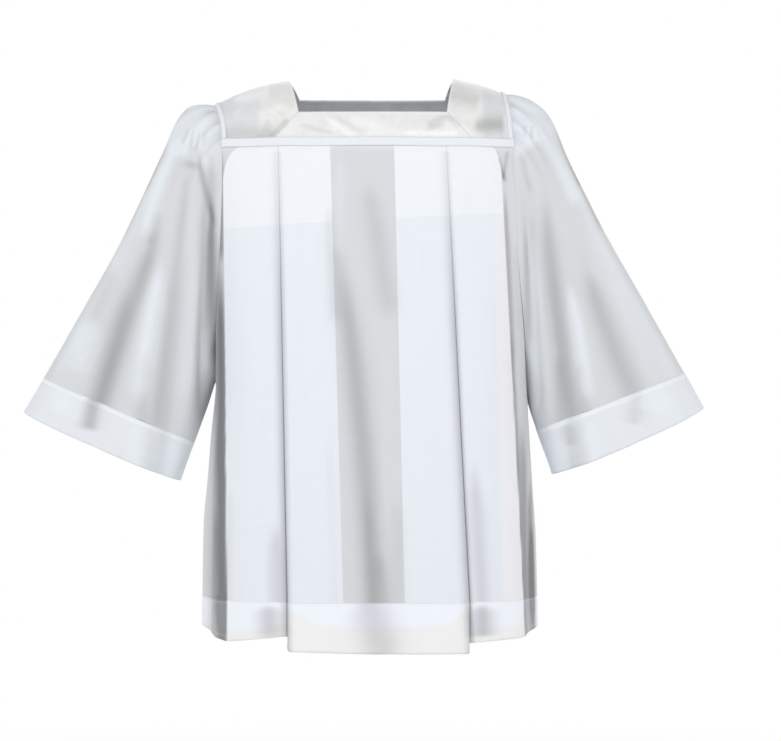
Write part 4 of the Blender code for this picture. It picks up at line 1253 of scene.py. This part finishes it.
def opaque(colour):
    return (*tuple(colour)[:3], 1.0)


def add_node(tree, kind, inputs=(), output=0, **options):
    """Adds a node, and returns one of its outputs.

    An input takes a value, or the output of another node that it is linked to.
    """
    node = tree.nodes.new(kind)
    for name, value in options.items():
        setattr(node, name, value)
    for key, value in dict(inputs).items():
        if isinstance(value, bpy.types.NodeSocket):
            tree.links.new(value, node.inputs[key])
        else:
            node.inputs[key].default_value = value
    return node.outputs[output]


def new_material(name, roughness, sheen):
    material = bpy.data.materials.new(name)
    material.use_nodes = True
    tree = material.node_tree
    shader = tree.nodes["Principled BSDF"]
    for setting, value in (("Roughness", roughness), ("Sheen Weight", sheen),
                           ("Sheen Roughness", 0.45), ("IOR", 1.5)):
        shader.inputs[setting].default_value = value
    return material, tree, shader


def dyed(tree, colour, other, *marks, strength=1.0):
    """The colour, changed to another one where all the marks are above zero.

    A mark is given with its softness, and changes the colour over twice that distance.
    """
    share = strength
    for mark, softness in marks:
        value = add_node(tree, "ShaderNodeAttribute", output="Fac", attribute_name=mark)
        share = add_node(tree, "ShaderNodeMapRange",
                         {"Value": value, "From Min": -softness, "From Max": softness,
                          "To Max": share}, interpolation_type="SMOOTHSTEP")
    return add_node(tree, "ShaderNodeMix", {0: share, 6: colour, 7: opaque(other)}, 2,
                    data_type="RGBA")


def shaded(tree, colour, light):
    """The colour, with painted shade and painted highlights along the creases."""
    shade = add_node(tree, "ShaderNodeAttribute", output="Fac", attribute_name="shade")
    dark = add_node(tree, "ShaderNodeMapRange",
                    {"Value": shade, "From Min": DARKEST, "From Max": 0.0,
                     "To Min": 1 + DARKENING * DARKEST, "To Max": 1.0})
    darkened = add_node(tree, "ShaderNodeMix", {0: 1.0, 6: colour, 7: dark}, 2,
                        data_type="RGBA", blend_type="MULTIPLY")
    bright = add_node(tree, "ShaderNodeMapRange", {"Value": shade, "To Max": BRIGHTENING})
    return dyed(tree, darkened, light, strength=bright)


def woven(tree, shader, colour, thread, strength, slub):
    """Streaks of uneven thread in the colour, and the bump of a plain weave of some strength.

    The threads of this voile are about 0.25 mm apart. They are drawn as wide as the thread
    given, because a real one is too fine to show.
    """
    place = add_node(tree, "ShaderNodeUVMap", uv_map="cloth")
    tones = []
    for scale in SLUBS:
        scaled = add_node(tree, "ShaderNodeMapping", {"Vector": place, "Scale": scale})
        tones.append(add_node(tree, "ShaderNodeTexNoise",
                              {"Vector": scaled, "Scale": 1.0, "Detail": 3.0,
                               "Roughness": 0.55}))
    uneven = add_node(tree, "ShaderNodeMath", {0: tones[0], 1: tones[1]}, operation="ADD")
    streak = add_node(tree, "ShaderNodeMapRange",
                      {"Value": uneven, "From Min": 0.7, "From Max": 1.3,
                       "To Min": 1 - slub, "To Max": 1 + slub * 0.4})
    toned = add_node(tree, "ShaderNodeVectorMath", {0: colour, "Scale": streak},
                     operation="SCALE")
    tree.links.new(toned, shader.inputs["Base Color"])
    waves = []
    for axis in ("X", "Y"):
        part = add_node(tree, "ShaderNodeSeparateXYZ", {"Vector": place}, axis)
        turned = add_node(tree, "ShaderNodeMath", {0: part, 1: 2 * math.pi / thread},
                          operation="MULTIPLY")
        waves.append(add_node(tree, "ShaderNodeMath", {0: turned}, operation="SINE"))
    weave = add_node(tree, "ShaderNodeMath", {0: waves[0], 1: waves[1]}, operation="MULTIPLY")
    height = add_node(tree, "ShaderNodeMath", {0: uneven, 1: 1.5, 2: weave},
                      operation="MULTIPLY_ADD")
    bump = add_node(tree, "ShaderNodeBump",
                    {"Height": height, "Strength": strength, "Distance": thread * 0.3})
    tree.links.new(bump, shader.inputs["Normal"])


def body_voile(colours):
    """Polyester voile, plain woven and sheer: a soft matt grey-white, whiter where the pleat's
    hidden layers lie behind it, and crisp-edged there."""
    material, tree, shader = new_material("voile", roughness=0.78, sheen=0.12)
    inside = ("layers", 0.0006)
    colour = dyed(tree, opaque(colours.sheer), colours.layered, inside)
    colour = dyed(tree, colour, colours.doubled, inside, ("doubled", 0.0030))
    colour = dyed(tree, colour, colours.faced, inside, ("facing", 0.0016))
    colour = shaded(tree, colour, colours.highlight)
    woven(tree, shader, colour, VOILE_THREAD, strength=0.10, slub=0.018)
    return material


def sleeve_voile(colours):
    """The same voile in the sleeves, where it is single all over."""
    material, tree, shader = new_material("sleeve voile", roughness=0.78, sheen=0.12)
    colour = shaded(tree, opaque(colours.sleeve), colours.highlight)
    woven(tree, shader, colour, VOILE_THREAD, strength=0.10, slub=0.018)
    return material


def band_cloth(colours):
    """The same voile turned up double in the hem band: bluish white and nearly opaque, and
    warmer below the end of the turned-up hem."""
    material, tree, shader = new_material("hem voile", roughness=0.74, sheen=0.25)
    colour = dyed(tree, opaque(colours.band_low), colours.band_high, ("turned", 0.004))
    colour = shaded(tree, colour, colours.highlight)
    woven(tree, shader, colour, VOILE_THREAD, strength=0.10, slub=0.012)
    return material


def cuff_cloth(colours):
    """Voile turned up double in the cuffs, with a brighter strip where three layers meet."""
    material, tree, shader = new_material("cuff voile", roughness=0.74, sheen=0.25)
    colour = dyed(tree, opaque(colours.cuff), colours.band_high, ("strip", 0.0007), strength=0.6)
    colour = shaded(tree, colour, colours.highlight)
    woven(tree, shader, colour, VOILE_THREAD, strength=0.10, slub=0.012)
    return material


def satin(colours):
    """Polyester satin lined with itself: warm white with a soft gloss, drag lines with painted
    shade and highlights, patches of painted crinkle shade, a bright bound edge, and single and
    greyer towards the armholes."""
    material, tree, shader = new_material("satin", roughness=0.42, sheen=0.35)
    colour = dyed(tree, opaque(colours.yoke_single), colours.satin, ("layers", 0.006))
    # Painted shade of small crinkles: the satin turns greyer in patches at random, a few
    # centimetres across.
    place = add_node(tree, "ShaderNodeTexCoord", output="Object")
    cloud = add_node(tree, "ShaderNodeTexNoise",
                     {"Vector": place, "Scale": 34.0, "Detail": 4.0, "Roughness": 0.6,
                      "Distortion": 0.8})
    crinkle_shade_share = add_node(tree, "ShaderNodeMapRange",
                     {"Value": cloud, "From Min": 0.35, "From Max": 0.75, "To Max": 0.35})
    colour = dyed(tree, colour, colours.satin_crease_shade, strength=crinkle_shade_share)
    colour = dyed(tree, colour, colours.welt, ("strip", 0.0006))
    # Painted shade and painted highlights along the drag lines.
    colour = shaded(tree, colour, colours.satin_highlight)
    woven(tree, shader, colour, SATIN_THREAD, strength=0.15, slub=0.015)
    return material


def welt_cloth(colours):
    """Folded voile pressed flat: three layers thick, opaque and the whitest of all."""
    material, tree, shader = new_material("welt", roughness=0.62, sheen=0.2)
    woven(tree, shader, tuple(colours.welt), VOILE_THREAD, strength=0.3, slub=0.02)
    return material


def thread_material(colours):
    """Spun polyester sewing thread: matt white with a twist of about 0.5 mm."""
    material, tree, shader = new_material("thread", roughness=0.6, sheen=0.2)
    place = add_node(tree, "ShaderNodeTexCoord", output="Object")
    twist = add_node(tree, "ShaderNodeTexNoise", {"Vector": place, "Scale": 2000.0})
    tone = dyed(tree, opaque(colours.thread), colours.welt, strength=twist)
    tree.links.new(tone, shader.inputs["Base Color"])
    return material


def floor_material(colours):
    """Plain matt painted floor, which runs out into the pale surroundings."""
    material, tree, shader = new_material("matt paint", roughness=0.9, sheen=0.0)
    shader.inputs["Base Color"].default_value = opaque(colours.floor)
    place = add_node(tree, "ShaderNodeTexCoord", output="Object")
    out = add_node(tree, "ShaderNodeVectorMath", {0: place, 1: (1.0, 1.0, 0.0)},
                   operation="MULTIPLY")
    far = add_node(tree, "ShaderNodeVectorMath", {0: out}, "Value", operation="LENGTH")
    share = add_node(tree, "ShaderNodeMapRange",
                     {"Value": far, "From Min": 1.2, "From Max": 3.6},
                     interpolation_type="SMOOTHSTEP")
    glow = add_node(tree, "ShaderNodeEmission", {"Color": WHITE, "Strength": 1.0})
    both = add_node(tree, "ShaderNodeMixShader", {0: share, 1: shader.outputs["BSDF"], 2: glow})
    tree.links.new(both, tree.nodes["Material Output"].inputs["Surface"])
    return material


def pale_room():
    """White walls all round, lit evenly, under a ceiling that is dimmer than they are."""
    world = bpy.data.worlds.new("Pale room")
    world.use_nodes = True
    tree = world.node_tree
    place = add_node(tree, "ShaderNodeTexCoord", output="Generated")
    up = add_node(tree, "ShaderNodeSeparateXYZ", {"Vector": place}, "Z")
    light = add_node(tree, "ShaderNodeMapRange",
                     {"Value": up, "From Min": 0.2, "From Max": 0.75, "To Min": 1.0,
                      "To Max": 0.55}, interpolation_type="SMOOTHSTEP")
    background = tree.nodes["Background"]
    background.inputs["Color"].default_value = WHITE
    tree.links.new(light, background.inputs["Strength"])
    return world


# ---- Sewing --------------------------------------------------------------------------------

STITCH_LENGTH = 0.78       # share of the pitch that a stitch takes up on the outer face
STITCH_CUTS = (0.3, 0.7)   # shares of a stitch's length where it is cut, to bend there
STITCH_DIP = 0.4           # how far its ends dip and narrow, as a share of the thread


def guide_along(name, path):
    """The curve that a row of stitches is bent to."""
    line = bpy.data.curves.new(name, "CURVE")
    line.dimensions = "3D"
    spline = line.splines.new("POLY")
    spline.points.add(len(path) - 1)
    spline.points.foreach_set("co", np.c_[path, np.ones(len(path))].astype(np.float32).ravel())
    guide = bpy.data.objects.new(name, line)
    bpy.context.scene.collection.objects.link(guide)
    return guide


def one_stitch(name, sizes):
    """A single stitch along x. Both ends dip through the cloth, so its middle is highest."""
    length = sizes.stitch_pitch * STITCH_LENGTH
    bpy.ops.object.select_all(action="DESELECT")
    bpy.ops.mesh.primitive_cylinder_add(
        vertices=6, radius=sizes.thread / 2, depth=length, end_fill_type="TRIFAN",
        location=(length / 2, 0, 0), rotation=(0, math.pi / 2, 0))
    stitch = bpy.context.object
    stitch.name = stitch.data.name = name
    bpy.ops.object.transform_apply(location=True, rotation=True, scale=True)
    bpy.ops.object.mode_set(mode="EDIT")
    for share in STITCH_CUTS:
        bpy.ops.mesh.select_all(action="SELECT")
        bpy.ops.mesh.bisect(plane_co=(length * share, 0, 0), plane_no=(1, 0, 0))
    bpy.ops.object.mode_set(mode="OBJECT")
    for vertex in stitch.data.vertices:
        dip = STITCH_DIP * (abs(vertex.co.x / length - 0.5) * 2) ** 2
        vertex.co.y *= 1 - dip
        vertex.co.z = vertex.co.z * (1 - dip) - sizes.thread * dip
    return stitch


def stitch_row(name, path, sizes, material):
    """A row of machine stitches along a path: one is modelled, then repeated and bent to it."""
    guide = guide_along(name + "_line", path)
    stitch = one_stitch(name, sizes)
    repeat = stitch.modifiers.new("Repeat", "ARRAY")
    repeat.use_relative_offset = False
    repeat.use_constant_offset = True
    repeat.constant_offset_displace = (sizes.stitch_pitch, 0, 0)
    repeat.count = max(int(run_along(path)[-1] / sizes.stitch_pitch), 1)
    bend = stitch.modifiers.new("Along the seam", "CURVE")
    bend.object = guide
    select_only(stitch)
    for modifier in ("Repeat", "Along the seam"):
        bpy.ops.object.modifier_apply(modifier=modifier)
    stitch.data.shade_smooth()
    stitch.data.materials.clear()
    stitch.data.materials.append(material)
    bpy.data.objects.remove(guide)
    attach(stitch, "root")


def outer_face(shell, wall, row):
    """A row of a shell on the outer face of its wall, as the path of a line of stitches."""
    return shell.points[row] + shell.normals[row] * (wall / 2)


# ---- Settings ------------------------------------------------------------------------------

def size_setting(name, description, default, low, high):
    return bpy.props.FloatProperty(
        name=name, description=description, default=default, min=low, max=high, unit="LENGTH")


class SurpliceSizes(bpy.types.PropertyGroup):
    voile_wall: size_setting("Voile", "Thickness of the single voile", 0.0006, 0.0002, 0.001)
    band_wall: size_setting(
        "Bands", "Thickness of the turned-up hem and cuffs", 0.0010, 0.0004, 0.0016)
    yoke_wall: size_setting("Yoke", "Thickness of the lined satin", 0.0010, 0.0004, 0.0016)
    trim_wall: size_setting(
        "Trims", "Thickness of the welts and pipings", 0.0012, 0.0006, 0.0014)
    stitch_pitch: size_setting(
        "Stitch", "Distance from one stitch to the next", 0.0028, 0.0015, 0.006)
    thread: size_setting("Thread", "Thickness of the sewing thread", 0.00045, 0.0002, 0.001)
    floor_drop: size_setting(
        "Floor", "Depth of the floor below the shoulders of the wearer", 1.43, 0.9, 1.7)


def colour_setting(name, description, hex_colour):
    return bpy.props.FloatVectorProperty(
        name=name, description=description, default=linear(hex_colour)[:3], size=3, min=0, max=1,
        subtype="COLOR")


class SurpliceColours(bpy.types.PropertyGroup):
    sheer: colour_setting("Single voile", "Voile with no layer behind it", "#D7D9DC")
    sleeve: colour_setting("Sleeve voile", "Voile of the sleeves", "#D7D9DC")
    layered: colour_setting("Layered voile", "Voile over the pleats' layers", "#E9EDF4")
    doubled: colour_setting("Doubled edge", "Edge of the last hidden layer", "#EFEFF3")
    faced: colour_setting("Faced voile", "Voile over the facing at the chest", "#EFF2F6")
    # Painted highlight: the colour that the voile takes on where the creases' shade is above zero.
    highlight: colour_setting("Ridge", "Voile on a ridge", "#E8EFF6")
    band_high: colour_setting("Band, upper", "Hem band over the turned-up hem", "#F3F7FE")
    band_low: colour_setting("Band, lower", "Hem band below it", "#F3F3F4")
    cuff: colour_setting("Cuff", "Cuff band", "#E5E9EE")
    satin: colour_setting("Satin", "Satin of the yoke", "#F0F0EF")
    # Painted highlight: the colour that the satin takes on where the creases' shade is above zero.
    satin_highlight: colour_setting("Satin ridge", "Satin on a ridge", "#FBFBFB")
    # Painted shade: the grey that the satin takes on in its small crinkles.
    satin_crease_shade: colour_setting("Satin crease", "Satin in its creases", "#C9C8C8")
    yoke_single: colour_setting("Shoulder", "Single part of the yoke", "#E2E6E8")
    welt: colour_setting("Welt", "Welts and pipings", "#ECEFF4")
    thread: colour_setting("Thread", "Sewing thread", "#EDEFF2")
    floor: colour_setting("Floor", "Floor of the stage", "#F2F2F2")


def settings(context):
    return context.scene.surplice_sizes, context.scene.surplice_colours


# ---- Operators -----------------------------------------------------------------------------

class SURPLICE_OT_body(bpy.types.Operator):
    """Makes the front and back panels, with their pleats, and the hem bands below them"""
    bl_idname = "surplice.body"
    bl_label = "Body panels and hem bands"

    def execute(self, context):
        sizes, colours = settings(context)
        cloth, band = (body_voile(colours), "voile"), (band_cloth(colours), "band")
        for facing in FACINGS:
            points, marks, uv, split = make_panel(facing)
            # The voile runs a little way into its band, as it does where they are sewn.
            body = part_of(points, marks, uv, slice(0, split + OVERLAP_ROWS))
            hem = part_of(points, marks, uv, slice(split, None))
            make_cloth(f"panel_{facing}", f"body_{facing}", body, sizes.voile_wall, cloth)
            make_cloth(f"hem_{facing}", f"hem_band_{facing}", hem, sizes.band_wall, band,
                       band_roll(BAND_ROWS))
            for end, row in zip(("", "_edge"), HEM_STITCHES):
                seams[f"hem_{facing}{end}"] = outer_face(hem, sizes.band_wall, row)
        return {"FINISHED"}


class SURPLICE_OT_yoke(bpy.types.Operator):
    """Makes the four satin pieces of the square yoke"""
    bl_idname = "surplice.yoke"
    bl_label = "Yoke"

    def execute(self, context):
        sizes, colours = settings(context)
        look = satin(colours), "satin"
        pieces = []
        for facing in FACINGS:
            pieces.append((f"yoke_band_{facing}", f"yoke_{facing}", make_yoke_band(facing),
                           f"neck_{facing}", NECK_STITCHES))
        for side in SIDES:
            pieces.append((f"shoulder_{side.name}", f"yoke_shoulder_{side.name}",
                           make_shoulder(side), f"mitre_{side.name}", MITRE_STITCHES))
        for name, node, shell, seam, line in pieces:
            roll = edge_roll(BINDING_WIDTH - shell.marks["strip"], BINDING_ROLL)
            make_cloth(name, node, shell, sizes.yoke_wall, look, roll)
            seams[seam] = outer_face(shell, sizes.yoke_wall, line)
        return {"FINISHED"}


class SURPLICE_OT_trims(bpy.types.Operator):
    """Makes the welts over the yoke seams and the pipings along the armholes"""
    bl_idname = "surplice.trims"
    bl_label = "Welts and pipings"

    def execute(self, context):
        sizes, colours = settings(context)
        look = welt_cloth(colours), "welt"
        for facing in FACINGS:
            shell = make_welt(facing)
            make_cloth(f"welt_{facing}", f"yoke_welt_{facing}", shell, sizes.trim_wall, look)
            for row in WELT_STITCHES:
                seams[f"welt_{facing}_{row}"] = outer_face(shell, sizes.trim_wall, row)
        for side in SIDES:
            make_cloth(f"piping_{side.name}", f"armhole_piping_{side.name}", make_piping(side),
                       sizes.trim_wall, look)
        return {"FINISHED"}


class SURPLICE_OT_sleeves(bpy.types.Operator):
    """Makes both sleeves, tucked into their armholes, and the cuff bands"""
    bl_idname = "surplice.sleeves"
    bl_label = "Sleeves and cuffs"

    def execute(self, context):
        sizes, colours = settings(context)
        cloth = sleeve_voile(colours), "sleeve_voile"
        band = cuff_cloth(colours), "cuff_band"
        for side in SIDES:
            points, marks, uv, split = make_sleeve(side)
            arm = part_of(points, marks, uv, slice(0, split + OVERLAP_ROWS), True)
            cuff = part_of(points, marks, uv, slice(split, None), True)
            make_cloth(f"arm_{side.name}", f"sleeve_{side.name}", arm, sizes.voile_wall, cloth)
            make_cloth(f"cuff_{side.name}", f"cuff_band_{side.name}", cuff, sizes.band_wall, band,
                       band_roll(CUFF_ROWS))
            for end, row in zip(("top", "edge"), CUFF_STITCHES):
                line = outer_face(cuff, sizes.band_wall, row)
                seams[f"cuff_{side.name}_{end}"] = np.concatenate([line, line[:1]])
        return {"FINISHED"}


class SURPLICE_OT_sewing(bpy.types.Operator):
    """Sews the rows of machine stitches along the bands, welts and yoke"""
    bl_idname = "surplice.sewing"
    bl_label = "Sewing"

    def execute(self, context):
        if not seams:
            raise RuntimeError("make the cloth before its sewing")
        sizes, colours = settings(context)
        thread = thread_material(colours)
        for name, path in seams.items():
            stitch_row(f"stitches_{name}", path, sizes, thread)
        return {"FINISHED"}


class SURPLICE_OT_stage(bpy.types.Operator):
    """Sets up the plain floor, the soft studio light and the camera"""
    bl_idname = "surplice.stage"
    bl_label = "Stage"

    def execute(self, context):
        sizes, colours = settings(context)
        scene = context.scene
        scene.view_settings.view_transform = "Standard"
        scene.world = pale_room()
        bpy.ops.object.select_all(action="DESELECT")
        bpy.ops.mesh.primitive_circle_add(vertices=96, radius=7.0, fill_type="NGON",
                                          location=(0, 0, -sizes.floor_drop))
        floor = context.object
        floor.name = "floor"
        floor.data.materials.append(floor_material(colours))
        for name, place, power, size in LIGHTS:
            bpy.ops.object.light_add(type="AREA", location=place)
            light = context.object
            light.name = name
            light.data.energy = power
            light.data.size = size
            x, y, z = np.subtract(MIDDLE, place)
            light.rotation_euler = (math.atan2(math.hypot(x, y), -z), 0,
                                    math.atan2(y, x) - math.pi / 2)
        bpy.ops.object.camera_add(location=CAMERA, rotation=(math.pi / 2, 0, 0))
        camera = context.object
        camera.data.sensor_width = SENSOR
        camera.data.lens = SENSOR * -CAMERA[1] / (PICTURE_WIDTH * PIXEL)
        scene.camera = camera
        return {"FINISHED"}


class SURPLICE_PT_panel(bpy.types.Panel):
    bl_idname = "SURPLICE_PT_panel"
    bl_label = "Surplice"
    bl_space_type = "VIEW_3D"
    bl_region_type = "UI"
    bl_category = "Surplice"

    def draw(self, context):
        for kind in OPERATORS:
            self.layout.operator(kind.bl_idname)
        for group in settings(context):
            box = self.layout.box()
            for name in group.__annotations__:
                box.prop(group, name)


OPERATORS = (
    SURPLICE_OT_body,
    SURPLICE_OT_yoke,
    SURPLICE_OT_trims,
    SURPLICE_OT_sleeves,
    SURPLICE_OT_sewing,
    SURPLICE_OT_stage,
)
CLASSES = (SurpliceSizes, SurpliceColours, *OPERATORS, SURPLICE_PT_panel)


def register():
    for kind in CLASSES:
        bpy.utils.register_class(kind)
    bpy.types.Scene.surplice_sizes = bpy.props.PointerProperty(type=SurpliceSizes)
    bpy.types.Scene.surplice_colours = bpy.props.PointerProperty(type=SurpliceColours)


def unregister():
    del bpy.types.Scene.surplice_colours
    del bpy.types.Scene.surplice_sizes
    for kind in reversed(CLASSES):
        bpy.utils.unregister_class(kind)


def main():
    register()
    bpy.ops.surplice.body()
    bpy.ops.surplice.yoke()
    bpy.ops.surplice.trims()
    bpy.ops.surplice.sleeves()
    bpy.ops.surplice.sewing()
    bpy.ops.surplice.stage()


if __name__ == "__main__":
    main()
